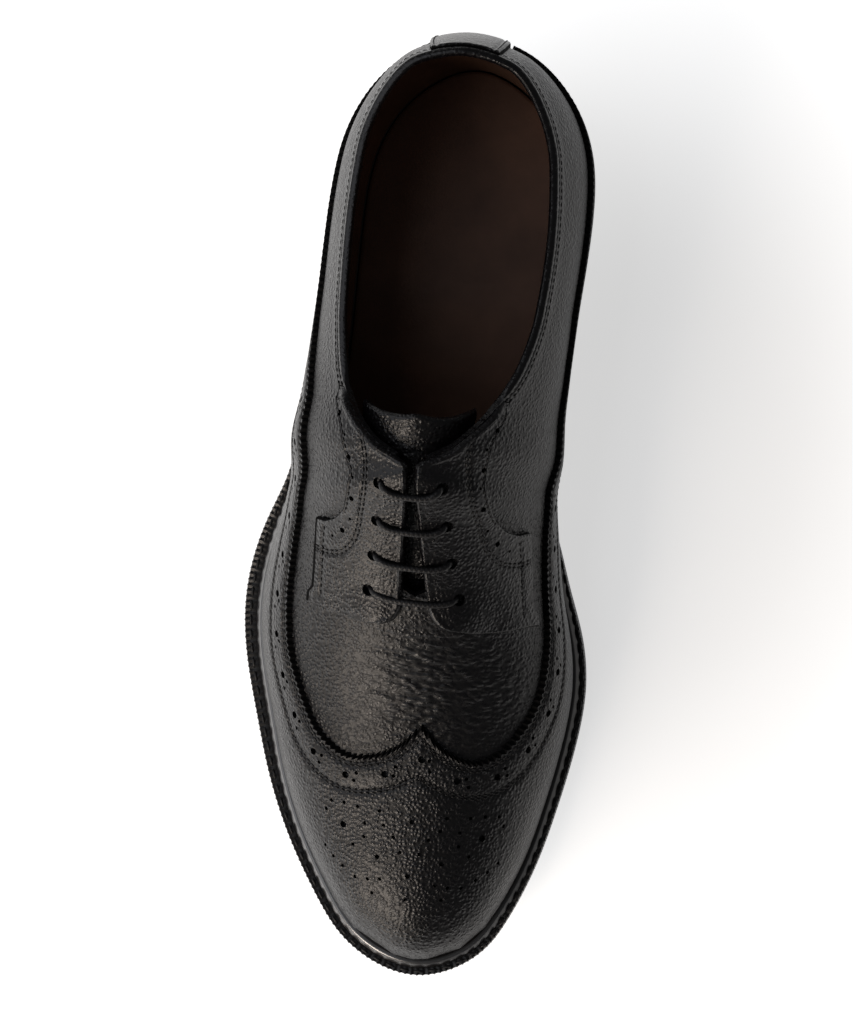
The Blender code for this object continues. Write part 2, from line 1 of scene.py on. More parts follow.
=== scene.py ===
"""Looks of the right shoe of a pair of black longwing derbies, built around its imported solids.

Lengths are in millimetres in the shoe's own frame and become metres when a mesh is made. A station is a
distance along the shoe from behind the heel to the toe. A ring position p counts the cross sections from the
heel along the lateral side to the toe at 19 and back along the medial side to 38.
"""

import math

import bmesh
import bpy
import numpy as np
from mathutils import Matrix, Vector, kdtree


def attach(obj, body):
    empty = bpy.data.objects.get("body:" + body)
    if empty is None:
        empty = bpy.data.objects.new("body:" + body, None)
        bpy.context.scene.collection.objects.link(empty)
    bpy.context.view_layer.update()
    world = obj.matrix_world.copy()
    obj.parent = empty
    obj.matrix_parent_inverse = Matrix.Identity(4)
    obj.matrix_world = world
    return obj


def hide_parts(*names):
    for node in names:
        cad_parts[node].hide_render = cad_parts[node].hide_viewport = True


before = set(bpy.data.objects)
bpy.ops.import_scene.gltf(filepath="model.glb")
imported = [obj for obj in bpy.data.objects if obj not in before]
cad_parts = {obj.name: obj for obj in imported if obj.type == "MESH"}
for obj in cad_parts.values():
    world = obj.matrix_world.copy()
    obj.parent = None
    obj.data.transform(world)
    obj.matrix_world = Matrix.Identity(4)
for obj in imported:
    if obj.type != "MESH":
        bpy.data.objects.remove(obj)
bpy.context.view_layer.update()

# Outsole. One sole of firm vegetable-tanned leather, about 6 mm thick, cut to the outline of the welt with
# an arch and a toe spring. It is sewn to the welt through a channel near its edge, and the edge is trimmed,
# dyed and waxed.
MM = 0.001
HEEL_BACK = 2.0
TOE_TIP = 296.0
HEEL_HEIGHT = 22.5
HEEL_LENGTH = 74.0
OUTSOLE = 6.2
# Height of the sole's underside by station
SOLE_LINE = [
    (0.0, HEEL_HEIGHT), (HEEL_LENGTH + 4.0, HEEL_HEIGHT), (96.0, 19.0), (118.0, 12.6), (142.0, 5.6),
    (166.0, 1.0), (184.0, 0.0), (214.0, 0.0), (236.0, 1.3), (258.0, 4.4), (278.0, 8.9), (TOE_TIP, 14.0),
]
# Outline of welt and sole from heel to toe: station, lateral edge, medial edge
OUTLINE = [
    (HEEL_BACK, 1.8, 1.8), (7.3, -13.2, 17.0), (21.0, -26.8, 31.2), (41.0, -34.4, 39.2),
    (65.0, -36.2, 39.0), (87.0, -36.6, 35.8), (104.0, -37.8, 33.2), (118.0, -40.4, 32.4),
    (131.0, -45.4, 33.8), (143.0, -48.8, 36.4), (156.0, -53.8, 41.2), (170.0, -57.6, 46.0),
    (185.0, -58.7, 51.3), (202.0, -56.4, 53.9), (221.0, -51.2, 52.2), (240.0, -45.0, 48.4),
    (259.0, -36.1, 43.3), (276.0, -25.2, 36.2), (289.0, -12.8, 26.4), (TOE_TIP, 7.5, 7.5),
]
ROWS = len(OUTLINE) - 1


def monotone(table, x):
    """Smooth curve through a two-column table that never overshoots its rows."""
    knots, values = np.array(table, float).T
    step = np.diff(knots)
    slope = np.diff(values) / step
    inner = np.zeros(len(knots))
    left, right = slope[:-1], slope[1:]
    weight = 3 * (step[:-1] + step[1:])
    w1 = step[:-1] + 2 * step[1:]
    w2 = 2 * step[:-1] + step[1:]
    same = left * right > 0
    bottom = w1 * np.where(same, right, 1) + w2 * np.where(same, left, 1)
    inner[1:-1] = np.where(same, weight * left * right / bottom, 0)
    inner[0], inner[-1] = slope[0], slope[-1]
    x = np.clip(x, knots[0], knots[-1])
    k = np.clip(np.searchsorted(knots, x, side="right") - 1, 0, len(step) - 1)
    h = step[k]
    f = (x - knots[k]) / h
    return (
        values[k] * (1 + 2 * f) * (1 - f) ** 2
        + inner[k] * h * f * (1 - f) ** 2
        + values[k + 1] * f * f * (3 - 2 * f)
        + inner[k + 1] * h * f * f * (f - 1)
    )


def around(lateral, medial):
    """Values of the sections in one ring: heel, lateral side, toe, medial side."""
    return np.concatenate([lateral, medial[-2:0:-1]])


def ring_round(values, p):
    """Curve of even bend through a ring of values, at ring positions p."""
    count = len(values)
    ring = np.eye(count)
    bend = np.linalg.solve(
        4 * ring + np.roll(ring, 1, 0) + np.roll(ring, -1, 0),
        6 * (np.roll(values, 1) - 2 * values + np.roll(values, -1)),
    )
    k = np.floor(p).astype(int)
    f = p - k
    a, b = k % count, (k + 1) % count
    g = 1 - f
    return values[a] * g + values[b] * f + (bend[a] * (g**3 - g) + bend[b] * (f**3 - f)) / 6


station_rows, lateral_rows, medial_rows = np.array(OUTLINE).T
RING = {"x": around(lateral_rows, medial_rows), "station": around(station_rows, station_rows)}


def sole_height(station):
    return monotone(SOLE_LINE, station)


def outline_at(p):
    return np.stack([ring_round(RING["x"], p), -ring_round(RING["station"], p)], -1)


def inward(p):
    """Direction into the shoe, square to the welt's outline, seen from above."""
    step = 1e-3
    along = outline_at(p + step) - outline_at(p - step)
    along /= np.linalg.norm(along, axis=-1, keepdims=True)
    return np.stack([-along[..., 1], along[..., 0]], -1)


def edge(p, inset):
    """Point of the welt's outline, moved in by inset, seen from above."""
    return outline_at(p) + inward(p) * np.asarray(inset)[..., None]


ring = np.linspace(0, 2 * ROWS, 32 * ROWS)
outline = edge(ring, 0 * ring)
middle = (outline.max(axis=0) + outline.min(axis=0)) / 2
centre = np.array([middle[0], middle[1], 0.0])
# Power that keeps the bow of a plate to its front end
FRONT_ONLY = 6


def plate(rows, columns, levels, hollow=0.0):
    """Closed plate between the two sides of the outline. Its levels, from its underside up, are pairs of an
    inset and a height by station, and hollow is the bow of its front end."""
    share = np.linspace(0, 1, columns)[None, :, None]
    layers = []
    for inset, height in levels:
        left, right = (edge(p, inset(p)) for p in (rows, 2 * ROWS - rows))
        plan = left[:, None] * (1 - share) + right[:, None] * share
        bow = 1 - (2 * share[..., 0] - 1) ** 2
        plan[..., 1] += hollow * bow * np.linspace(0, 1, len(rows))[:, None] ** FRONT_ONLY
        layers.append(np.concatenate([plan, height(-plan[..., 1:])], -1))
    rims = [np.concatenate([grid[::-1, 0], grid[1:, -1], grid[-1, -2::-1]]) for grid in layers]
    return [layers[0], layers[-1], np.stack(rims)]


def inset_by(distance):
    return lambda p: np.full(np.shape(p), float(distance))


def over_sole(height):
    return lambda station: sole_height(station) + height


# Points that round to the same step, of which a metre has this many, become one
MERGE_STEPS = 1e7
SHARP = math.radians(38)


def add_piece(name, grids, materials, paints=None):
    """One object from grids of points in millimetres, joined where their points meet. A grid takes the
    material that paints gives it. Columns after the third are the surface's own coordinates."""
    quads, tints, places = [], [], []
    for number, grid in enumerate(grids):
        grid = np.asarray(grid, float)
        corners = np.stack([grid[:-1, :-1], grid[1:, :-1], grid[1:, 1:], grid[:-1, 1:]], 2)
        corners = corners.reshape(-1, 4, grid.shape[2])
        quads.append(corners[..., :3])
        places.append(corners[..., 3:] if grid.shape[2] == 5 else np.zeros((len(corners), 4, 2)))
        tints.append(np.full(len(corners), paints[number] if paints else 0))
    quads, places, tints = np.concatenate(quads), np.concatenate(places), np.concatenate(tints)
    points = (quads.reshape(-1, 3) - centre) * MM
    steps = np.round(points * MERGE_STEPS).astype(np.int64)
    _, first, index = np.unique(steps, axis=0, return_index=True, return_inverse=True)
    index = index.reshape(-1, 4)
    keep = index != np.roll(index, 1, axis=1)
    keep[(index[:, 0] == index[:, 2]) | (index[:, 1] == index[:, 3])] = False
    keep[keep.sum(axis=1) < 3] = False
    whole = keep.any(axis=1)
    faces = [face[used].tolist() for face, used in zip(index[whole], keep[whole])]
    mesh = bpy.data.meshes.new(name)
    mesh.from_pydata(points[first].tolist(), [], faces)
    for material in materials:
        mesh.materials.append(material)
    mesh.polygons.foreach_set("material_index", tints[whole].astype(np.int32))
    if places.any():
        mesh.uv_layers.new(name="surface").data.foreach_set("uv", places[keep].astype(np.float32).ravel())
    work = bmesh.new()
    work.from_mesh(mesh)
    bmesh.ops.recalc_face_normals(work, faces=work.faces)
    work.to_mesh(mesh)
    work.free()
    mesh.shade_smooth()
    mesh.set_sharp_from_angle(angle=SHARP)
    piece = bpy.data.objects.new(name, mesh)
    bpy.context.scene.collection.objects.link(piece)
    return piece


def fit(piece, slot, *nodes):
    """Fixes a piece to the shoe and lets it stand for the nodes named. slot is not used."""
    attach(piece, "root")
    if nodes:
        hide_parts(*nodes)


def linear(code):
    """Linear colour of an sRGB hex value."""
    parts = [int(code[k : k + 2], 16) / 255 for k in (1, 3, 5)]
    return (*(c / 12.92 if c <= 0.04045 else ((c + 0.055) / 1.055) ** 2.4 for c in parts), 1.0)


def add_node(tree, kind, inputs, **settings):
    """Adds a node, or feeds one that is there. An input takes a value or the socket that is linked to it."""
    made = tree.nodes.new(kind) if isinstance(kind, str) else kind
    for name, value in settings.items():
        setattr(made, name, value)
    for key, value in inputs.items():
        if isinstance(value, bpy.types.NodeSocket):
            tree.links.new(value, made.inputs[key])
        else:
            made.inputs[key].default_value = value
    return made


def new_material(name):
    """New material with its node tree, its shader and the socket with places on the object."""
    material = bpy.data.materials.new(name)
    material.use_nodes = True
    tree = material.node_tree
    place = add_node(tree, "ShaderNodeTexCoord", {}).outputs["Object"]
    return material, tree, tree.nodes["Principled BSDF"], place


# Waxed edge dressing over cut leather: deep black with a soft shine, and the faint long fibres of the cut
# edge
sole_edge, tree, shader, place = new_material("edge-dressed sole leather")
FIBRE = 0.5 * MM
lying = add_node(tree, "ShaderNodeMapping", {"Vector": place, "Scale": (0.12, 0.12, 1.0)})
fibres = add_node(tree, "ShaderNodeTexNoise", {"Vector": lying.outputs[0], "Scale": 1 / FIBRE, "Detail": 3.0})
blotch = add_node(tree, "ShaderNodeTexNoise", {"Vector": place, "Scale": 1 / (9 * MM), "Detail": 3.0})
tone = add_node(tree, "ShaderNodeMix", {0: blotch.outputs[0], 6: linear("#0E0D0E"), 7: linear("#1C1A1A")},
                data_type="RGBA")
gloss = add_node(tree, "ShaderNodeMapRange", {0: fibres.outputs[0], 3: 0.30, 4: 0.52})
bump = add_node(tree, "ShaderNodeBump", {"Height": fibres.outputs[0], "Strength": 0.5, "Distance": 0.1 * MM})
add_node(tree, shader, {
    "Base Color": tone.outputs[2], "Roughness": gloss.outputs[0], "Normal": bump.outputs[0],
    "Coat Weight": 0.15, "Coat Roughness": 0.3})

# Dyed grain side of sole leather: nearly black brown, matt, with fine pores and light scuffs along the walk
sole_face, tree, shader, place = new_material("dyed sole leather")
scuffs = add_node(tree, "ShaderNodeMapping", {"Vector": place, "Scale": (1.0, 0.25, 1.0)})
scuff = add_node(tree, "ShaderNodeTexNoise", {
    "Vector": scuffs.outputs[0], "Scale": 1 / (4 * MM), "Detail": 5.0})
pores = add_node(tree, "ShaderNodeTexNoise", {"Vector": place, "Scale": 1 / (0.6 * MM), "Detail": 2.0})
tone = add_node(tree, "ShaderNodeMix", {0: scuff.outputs[0], 6: linear("#171311"), 7: linear("#332822")},
                data_type="RGBA")
gloss = add_node(tree, "ShaderNodeMapRange", {0: scuff.outputs[0], 3: 0.42, 4: 0.7})
bump = add_node(tree, "ShaderNodeBump", {"Height": pores.outputs[0], "Strength": 0.4, "Distance": 0.1 * MM})
add_node(tree, shader, {
    "Base Color": tone.outputs[2], "Roughness": gloss.outputs[0], "Normal": bump.outputs[0]})

SOLE_LINES = 200
SOLE_COLUMNS = 14
DOWNWARD = -0.8
sole_rows = np.linspace(0, ROWS, SOLE_LINES)
# Underside with the closed channel of the seam, rounded lower corner, trimmed edge, upper corner
SOLE_PROFILE = [
    (8.0, 0.0), (6.5, 0.0), (6.1, 0.4), (5.7, 0.0), (1.3, 0.0), (0.5, 0.2), (0.1, 0.8), (0.0, 1.6),
    (0.25, 2.6), (0.25, 4.4), (0.0, 5.2), (0.1, 5.8), (0.6, 6.15), (1.4, OUTSOLE),
]
levels = [(inset_by(inset), over_sole(height)) for inset, height in SOLE_PROFILE]
grids = plate(sole_rows, SOLE_COLUMNS, levels)
outsole = add_piece("outsole_leather", grids, [sole_edge, sole_face], [1, 0, 0])
for face in outsole.data.polygons:
    if face.normal.z < DOWNWARD:
        face.material_index = 1
fit(outsole, "sole_leather", "outsole")

# Heel base. Three lifts of sole leather glued and nailed into a stack under the seat, trimmed together and
# dressed black. Fine grooves mark the joints, and the front, or breast, is a little hollow.
TOP_LIFT = 6.0
GAP = 0.3
LIFTS = 3
HEEL_INSETS = (1.8, 0.6)
HEEL_BREAST = 3.0
JOINT = 0.25
HEEL_LINES = 150
HEEL_COLUMNS = 13
heel_end = np.interp(HEEL_LENGTH, station_rows, np.arange(ROWS + 1))
heel_rows = np.linspace(0, heel_end, HEEL_LINES)


def flat(height):
    return lambda station: np.full(np.shape(station), float(height))


heel_levels = []
lift_heights = np.linspace(TOP_LIFT, HEEL_HEIGHT, LIFTS + 1)
for low, high in zip(lift_heights, lift_heights[1:]):
    for height, sunk in ((low, JOINT), (low + JOINT, 0.0), (high - JOINT, 0.0), (high, JOINT)):
        inset = np.interp(height, (TOP_LIFT, HEEL_HEIGHT), HEEL_INSETS) + sunk
        heel_levels.append((inset_by(inset), flat(height)))
heel_base = add_piece("heel_stack", plate(heel_rows, HEEL_COLUMNS, heel_levels, HEEL_BREAST), [sole_edge])
fit(heel_base, "sole_leather", "heel_base")

# Heel top lift. A moulded rubber piece on the end of the heel that meets the floor, glued and nailed on. Its
# underside has fine cross ribs for grip inside a flat rim.
RIB_PITCH = 3.4
RIB_DEPTH = 0.5
RIB_SQUARENESS = 1.6

# Moulded rubber: matt charcoal with a faint pebble from the mould
rubber, tree, shader, place = new_material("moulded heel rubber")
grit = add_node(tree, "ShaderNodeTexNoise", {"Vector": place, "Scale": 1 / (0.8 * MM), "Detail": 3.0})
tone = add_node(tree, "ShaderNodeMix", {0: grit.outputs[0], 6: linear("#0D0D0D"), 7: linear("#1B1B1B")},
                data_type="RGBA")
bump = add_node(tree, "ShaderNodeBump", {"Height": grit.outputs[0], "Strength": 0.4, "Distance": 0.1 * MM})
add_node(tree, shader, {"Base Color": tone.outputs[2], "Roughness": 0.72, "Normal": bump.outputs[0]})


def ribs(station):
    return RIB_DEPTH * np.clip(RIB_SQUARENESS * np.sin(2 * np.pi * station / RIB_PITCH), 0, 1)


lift_levels = [
    (inset_by(7.0), ribs), (inset_by(6.6), flat(0.0)), (inset_by(2.6), flat(0.0)), (inset_by(2.0), flat(0.2)),
    (inset_by(1.8), flat(0.7)), (inset_by(1.8), flat(TOP_LIFT - 0.5)), (inset_by(2.05), flat(TOP_LIFT)),
]
top_lift = add_piece("heel_rubber_lift", plate(heel_rows, HEEL_COLUMNS, lift_levels, HEEL_BREAST), [rubber])
fit(top_lift, "heel_rubber", "heel_top_lift")

# Welt. A storm welt: a strip of leather sewn all round the upper, with a raised bead against it that keeps
# water out. Its top is pressed with a wheel between the stitches, and a lockstitch of waxed thread holds
# the sole.
WELT = 3.2
BEAD = 2.0
WALL = 2.2
SKIRT = 1.9
BEAD_WIDTH = 2.2
# Profile of the bead from its outer foot to the upper, as shares of its width and height
BEAD_PROFILE = [(1.0, 0.0), (0.94, 0.14), (0.80, 0.31), (0.6, 0.56), (0.4, 0.8), (0.27, 0.94), (0.1, 1.0)]
# The bead is lower where the welt is narrow: margin where it starts, margin more for its whole height,
# lowest share
BEAD_GROWTH = (4.2, 1.8, 0.25)
BEAD_CLEAR = 0.6
# Dents of the wheel along the welt, and how far they cut into its rim as a share of their depth
WHEEL_PITCH = 1.9
WHEEL_DEPTH = 0.5
WHEEL_SHAPE = [0.0, 0.5, 1.0, 0.5]
NOTCH = 0.9
WELT_PITCH = 4.6
WELT_STITCH = (3.7, 1.0)
# Width of the welt outside the upper, and the wall's lean outwards in degrees, by section
MARGIN_LATERAL = [
    6.0, 5.4, 4.6, 4.0, 4.0, 4.2, 4.6, 5.0, 5.8, 6.6, 7.6, 8.3, 8.5, 8.3, 8.0, 7.6, 7.2, 7.0, 6.8, 6.8,
]
MARGIN_MEDIAL = [
    6.0, 5.2, 4.2, 4.0, 4.0, 4.0, 4.0, 4.0, 4.3, 4.8, 5.4, 6.0, 6.3, 6.4, 6.3, 6.1, 6.0, 6.2, 6.5, 6.8,
]
LEAN_LATERAL = [8, 9, 13, 18, 22, 24, 23, 20, 15, 9, 6, 5, 5, 4, 3, 3, 2, 1, 0, 0]
LEAN_MEDIAL = [8, 11, 16, 20, 23, 29, 35, 38, 38, 34, 27, 19, 12, 8, 6, 5, 3, 1, 0, 0]
RING["margin"] = around(np.array(MARGIN_LATERAL), np.array(MARGIN_MEDIAL))
RING["lean"] = around(np.array(LEAN_LATERAL, float), np.array(LEAN_MEDIAL, float))


def arc_lengths(line):
    return np.concatenate([[0.0], np.cumsum(np.linalg.norm(np.diff(line, axis=0), axis=1))])


ring = np.linspace(0, 2 * ROWS, 6000)
run = arc_lengths(outline_at(ring))
wheel_marks = round(run[-1] / WHEEL_PITCH)
welt_p = np.interp(np.linspace(0, run[-1], len(WHEEL_SHAPE) * wheel_marks + 1), run, ring)
welt_p[-1] = 0
margin = ring_round(RING["margin"], welt_p)
lean = np.tan(np.radians(np.clip(ring_round(RING["lean"], welt_p), 0, 90)))
narrow, growth, lowest = BEAD_GROWTH
bead = BEAD * np.clip((margin - narrow) / growth, lowest, 1)
bead_foot = np.minimum(SKIRT + lean * bead, margin - BEAD_WIDTH - BEAD_CLEAR)
pressed = WHEEL_DEPTH * np.tile(WHEEL_SHAPE, wheel_marks + 1)[: len(welt_p)]


def welt_line(out, height):
    """Points that far outside the foot of the upper and that high above the welt's underside."""
    plan = edge(welt_p, margin - out)
    base = sole_height(-plan[..., 1]) + OUTSOLE
    return np.concatenate([plan, (base + height)[:, None]], -1)


# Lines of the cross section: underside, rim with the wheel's notches, top, bead, back down inside the upper
none = np.zeros(len(welt_p))
flat_from, flat_to = bead_foot + BEAD_WIDTH, margin - 0.5
rim = margin - NOTCH * pressed
welt_lines = [welt_line(none - WALL, none), welt_line(margin - 0.4, none), welt_line(margin, none + 0.5)]
welt_lines += [welt_line(rim, WELT - 1.1 - 0.6 * pressed), welt_line(rim - 0.2, WELT - 0.35 - 0.9 * pressed)]
for share in (1.0, 0.8, 0.5, 0.2):
    out = flat_from * (1 - share) + flat_to * share
    welt_lines.append(welt_line(out, WELT - pressed * (0.4 + 0.6 * share)))
welt_lines.append(welt_line(flat_from, none + WELT - 0.25))
for across, rise in BEAD_PROFILE:
    welt_lines.append(welt_line(bead_foot + BEAD_WIDTH * across, WELT + bead * rise - 0.1))
tucked = WELT + 0.85 * bead
bead_end = len(welt_lines)
welt_lines += [welt_line(bead_foot - 0.4, tucked), welt_line(none - 0.6, tucked)]
welt_lines += [welt_line(none - WALL, none + WELT), welt_lines[0]]

# Burnished bead: the rubbed and waxed ridge of the storm welt, smoother than the rest, and brighter by a coat
# that is partly wax and partly painted highlight
burnished, tree, shader, place = new_material("burnished welt bead with painted highlight")
rubbed = add_node(tree, "ShaderNodeTexNoise", {"Vector": place, "Scale": 1 / (5 * MM), "Detail": 4.0})
gloss = add_node(tree, "ShaderNodeMapRange", {0: rubbed.outputs[0], 3: 0.22, 4: 0.42})
# The coat's weight paints the highlight along the bead and the shade on its medial side
wax_and_painted_highlight = add_node(tree, "ShaderNodeAttribute", {}, attribute_name="wax_and_painted_highlight")
add_node(tree, shader, {"Base Color": linear("#1B1A1B"), "Roughness": gloss.outputs[0],
                        "Coat Weight": wax_and_painted_highlight.outputs["Fac"], "Coat Roughness": 0.28, "Coat IOR": 2.7})
lines = np.stack(welt_lines, 1)
bead_start = bead_end - len(BEAD_PROFILE)
grids = [lines[:, : bead_start + 1], lines[:, bead_start : bead_end + 1], lines[:, bead_end:]]
welt = add_piece("welt_strip", grids, [sole_edge, burnished], [0, 1, 0])


def ease(x):
    """Smooth step from 0 to 1."""
    x = np.clip(x, 0, 1)
    return x * x * (3 - 2 * x)


def paint(piece, name, values):
    """Stores one number for each vertex."""
    piece.data.attributes.new(name, "FLOAT", "POINT").data.foreach_set("value", values.astype(np.float32))


def vertices(piece):
    """Vertices in millimetres in the shoe's own frame."""
    flat_list = np.empty(3 * len(piece.data.vertices))
    piece.data.vertices.foreach_get("co", flat_list)
    return flat_list.reshape(-1, 3) / MM + centre


# The bead's coat is painted bright on the lateral side and round the toe, a painted highlight, and turned
# down past this distance towards the medial side, painted shade there
PAINTED_BEAD_SHADE_FROM = 24
PAINTED_BEAD_SHADE_FADE = 16
PAINTED_BEAD_SHADE = 0.85
points = vertices(welt)
paint(welt, "wax_and_painted_highlight", 1 - PAINTED_BEAD_SHADE * ease((points[:, 0] - PAINTED_BEAD_SHADE_FROM) / PAINTED_BEAD_SHADE_FADE))
fit(welt, "sole_leather", "welt")

# Waxed linen thread: black with a dull shine, two plies twisted at a slant
thread, tree, shader, place = new_material("waxed linen thread")
twist = add_node(tree, "ShaderNodeTexNoise", {"Vector": place, "Scale": 1 / (0.35 * MM), "Detail": 1.0})
gloss = add_node(tree, "ShaderNodeMapRange", {0: twist.outputs[0], 3: 0.38, 4: 0.6})
bump = add_node(tree, "ShaderNodeBump", {"Height": twist.outputs[0], "Strength": 0.6, "Distance": 0.1 * MM})
add_node(tree, shader, {
    "Base Color": linear("#141314"), "Roughness": gloss.outputs[0], "Normal": bump.outputs[0]})


def node_group(name, sizes, material=False):
    """Geometry Nodes tree with named inputs, their sockets, and the turn that each point gives."""
    tree = bpy.data.node_groups.new(name, "GeometryNodeTree")
    tree.interface.new_socket("Points", in_out="INPUT", socket_type="NodeSocketGeometry")
    for size in sizes:
        tree.interface.new_socket(size, in_out="INPUT", socket_type="NodeSocketFloat")
    if material:
        tree.interface.new_socket("Material", in_out="INPUT", socket_type="NodeSocketMaterial")
    tree.interface.new_socket("Mesh", in_out="OUTPUT", socket_type="NodeSocketGeometry")
    given = tree.nodes.new("NodeGroupInput").outputs
    along = add_node(tree, "GeometryNodeInputNamedAttribute", {"Name": "along"}, data_type="FLOAT_VECTOR")
    up = add_node(tree, "GeometryNodeInputNamedAttribute", {"Name": "up"}, data_type="FLOAT_VECTOR")
    turn = add_node(tree, "FunctionNodeAxesToRotation", {0: up.outputs[0], 1: along.outputs[0]},
                    primary_axis="Z", secondary_axis="X")
    return tree, given, turn.outputs[0]


# One stitch is a small ball drawn out along the seam
stitches, given, turn = node_group("stitches along a seam", ["Length", "Width"], True)
ball = add_node(stitches, "GeometryNodeMeshUVSphere", {"Segments": 6, "Rings": 4, "Radius": 0.5})
size = add_node(stitches, "ShaderNodeCombineXYZ", {0: given["Length"], 1: given["Width"], 2: given["Width"]})
sewn = add_node(stitches, "GeometryNodeInstanceOnPoints", {
    "Points": given["Points"], "Instance": ball.outputs[0], "Rotation": turn, "Scale": size.outputs[0]})
real = add_node(stitches, "GeometryNodeRealizeInstances", {0: sewn.outputs[0]})
smooth = add_node(stitches, "GeometryNodeSetShadeSmooth", {0: real.outputs[0]})
done = add_node(stitches, "GeometryNodeSetMaterial", {0: smooth.outputs[0], "Material": given["Material"]})
add_node(stitches, "NodeGroupOutput", {0: done.outputs[0]})


def grow(name, tree, points, attributes, inputs):
    """Plain mesh that a node tree makes on points in millimetres with their attributes."""
    mesh = bpy.data.meshes.new(name)
    mesh.from_pydata(((points - centre) * MM).tolist(), [], [])
    for key, values in attributes.items():
        kind, field = ("FLOAT_VECTOR", "vector") if values.ndim == 2 else ("FLOAT", "value")
        mesh.attributes.new(key, kind, "POINT").data.foreach_set(field, values.astype(np.float32).ravel())
    piece = bpy.data.objects.new(name, mesh)
    bpy.context.scene.collection.objects.link(piece)
    modifier = piece.modifiers.new(name, "NODES")
    modifier.node_group = tree
    for key, value in inputs.items():
        modifier[tree.interface.items_tree[key].identifier] = value
    seen = piece.evaluated_get(bpy.context.evaluated_depsgraph_get())
    grown = bpy.data.meshes.new_from_object(seen)
    piece.modifiers.clear()
    piece.data = grown
    return piece


STEP_AHEAD = 0.02


def spaced(line, normals, pitch):
    """Points at an even pitch along a line on the leather, with the way along it and the way up."""
    run = arc_lengths(line)
    count = max(1, round(run[-1] / pitch))
    places = (np.arange(count) + 0.5) * run[-1] / count
    points, ahead, up = (
        np.stack([np.interp(where, run, values[:, k]) for k in range(3)], 1)
        for where, values in ((places, line), (places + STEP_AHEAD, line), (places, normals))
    )
    return points, ahead - points, up


def sew(name, seams, size):
    """One piece with the stitches of several seams, each a line, its normals and a pitch. size is a stitch's
    length and width."""
    points, along, up = (np.concatenate(parts) for parts in zip(*(spaced(*seam) for seam in seams)))
    inputs = {"Length": size[0] * MM, "Width": size[1] * MM, "Material": thread}
    piece = grow(name, stitches, points, {"along": along, "up": up}, inputs)
    fit(piece, "waxed_cord")
    return piece


welt_seam = welt_line((flat_from + flat_to) / 2, none + WELT - 0.05)
sew("welt_stitching", [(welt_seam, np.tile([0.0, 0.0, 1.0], (len(welt_p), 1)), WELT_PITCH)], WELT_STITCH)

# Insole. A smooth leather sock on the insole that the foot stands on. It is cut a little inside the lining,
# its upper edge is rounded, and it is glued down from heel to toe.
SOCK = 1.6
SOCK_COLUMNS = 12

# Smooth lining leather: dark brown, matt, with fine pores and soft stains
lining, tree, shader, place = new_material("vegetable-tanned lining leather")
stain = add_node(tree, "ShaderNodeTexNoise", {"Vector": place, "Scale": 1 / (14 * MM), "Detail": 4.0})
pores = add_node(tree, "ShaderNodeTexNoise", {"Vector": place, "Scale": 1 / (0.7 * MM), "Detail": 2.0})
tone = add_node(tree, "ShaderNodeMix", {0: stain.outputs[0], 6: linear("#4E382C"), 7: linear("#785846")},
                data_type="RGBA")
bump = add_node(tree, "ShaderNodeBump", {"Height": pores.outputs[0], "Strength": 0.35, "Distance": 0.12 * MM})
add_node(tree, shader, {"Base Color": tone.outputs[2], "Roughness": 0.62, "Normal": bump.outputs[0]})


def in_from_welt(distance):
    return lambda p: ring_round(RING["margin"], p) + distance


sock_top = OUTSOLE + WELT + 2 * GAP + SOCK
SOCK_PROFILE = [
    (2.8, OUTSOLE + GAP), (2.8, sock_top - 0.5), (3.2, sock_top - 0.1), (4.0, sock_top), (9.0, sock_top),
]
levels = [(in_from_welt(inset), over_sole(height)) for inset, height in SOCK_PROFILE]
insole = add_piece("insole_sock", plate(sole_rows, SOCK_COLUMNS, levels), [lining])
fit(insole, "lining_leather", "insole")

# Upper. Vamp and quarters of pebble-grain calf, lasted over the form and sewn to the welt, with a leather
# lining. The collar is folded over and held by two rows of stitches, and the vamp shows soft wrinkles from
# the flexing.
SEAT = 0.4
OVERLAY = 1.2
# Sections of the last: top_station, spread and top_height place the collar or the ridge, foot and crown are
# the fullness of the wall's lower and upper part, rise its slope at the collar, fall the slope of the ridge
LAST_COLUMNS = ("top_station", "spread", "top_height", "foot", "crown", "rise", "fall")
LAST = [
    (15.0, 0.0, 95.5, 0.44, 0.34, 66.0, 0.0), (18.0, 13.5, 94.0, 0.44, 0.34, 66.0, 0.0),
    (28.5, 23.2, 90.5, 0.44, 0.34, 66.0, 0.0), (45.0, 28.9, 86.3, 0.44, 0.34, 66.0, 0.0),
    (67.0, 30.3, 83.8, 0.44, 0.34, 65.0, 0.0), (87.5, 29.5, 83.3, 0.44, 0.34, 62.0, 0.0),
    (104.0, 26.7, 85.3, 0.43, 0.35, 56.0, 0.0), (118.0, 20.9, 89.2, 0.42, 0.36, 46.0, 0.0),
    (129.0, 11.4, 94.2, 0.40, 0.35, 28.0, 0.2), (137.0, 0.0, 95.7, 0.37, 0.32, 6.0, 0.4),
    (149.0, 0.0, 86.8, 0.36, 0.31, 0.0, 0.72), (163.0, 0.0, 77.0, 0.36, 0.34, 0.0, 0.67),
    (179.0, 0.0, 67.0, 0.37, 0.38, 0.0, 0.56), (193.0, 0.0, 60.0, 0.37, 0.42, 0.0, 0.44),
    (202.0, 0.0, 56.5, 0.36, 0.44, 0.0, 0.38), (206.5, 0.0, 54.9, 0.34, 0.46, 0.0, 0.36),
    (208.5, 0.0, 54.2, 0.32, 0.47, 0.0, 0.36), (209.3, 0.0, 53.9, 0.30, 0.48, 0.0, 0.36),
    (209.6, 0.0, 53.8, 0.29, 0.48, 0.0, 0.36), (209.7, 0.0, 53.77, 0.29, 0.48, 0.0, 0.36),
]
MEDIAL_RISE = 2.0
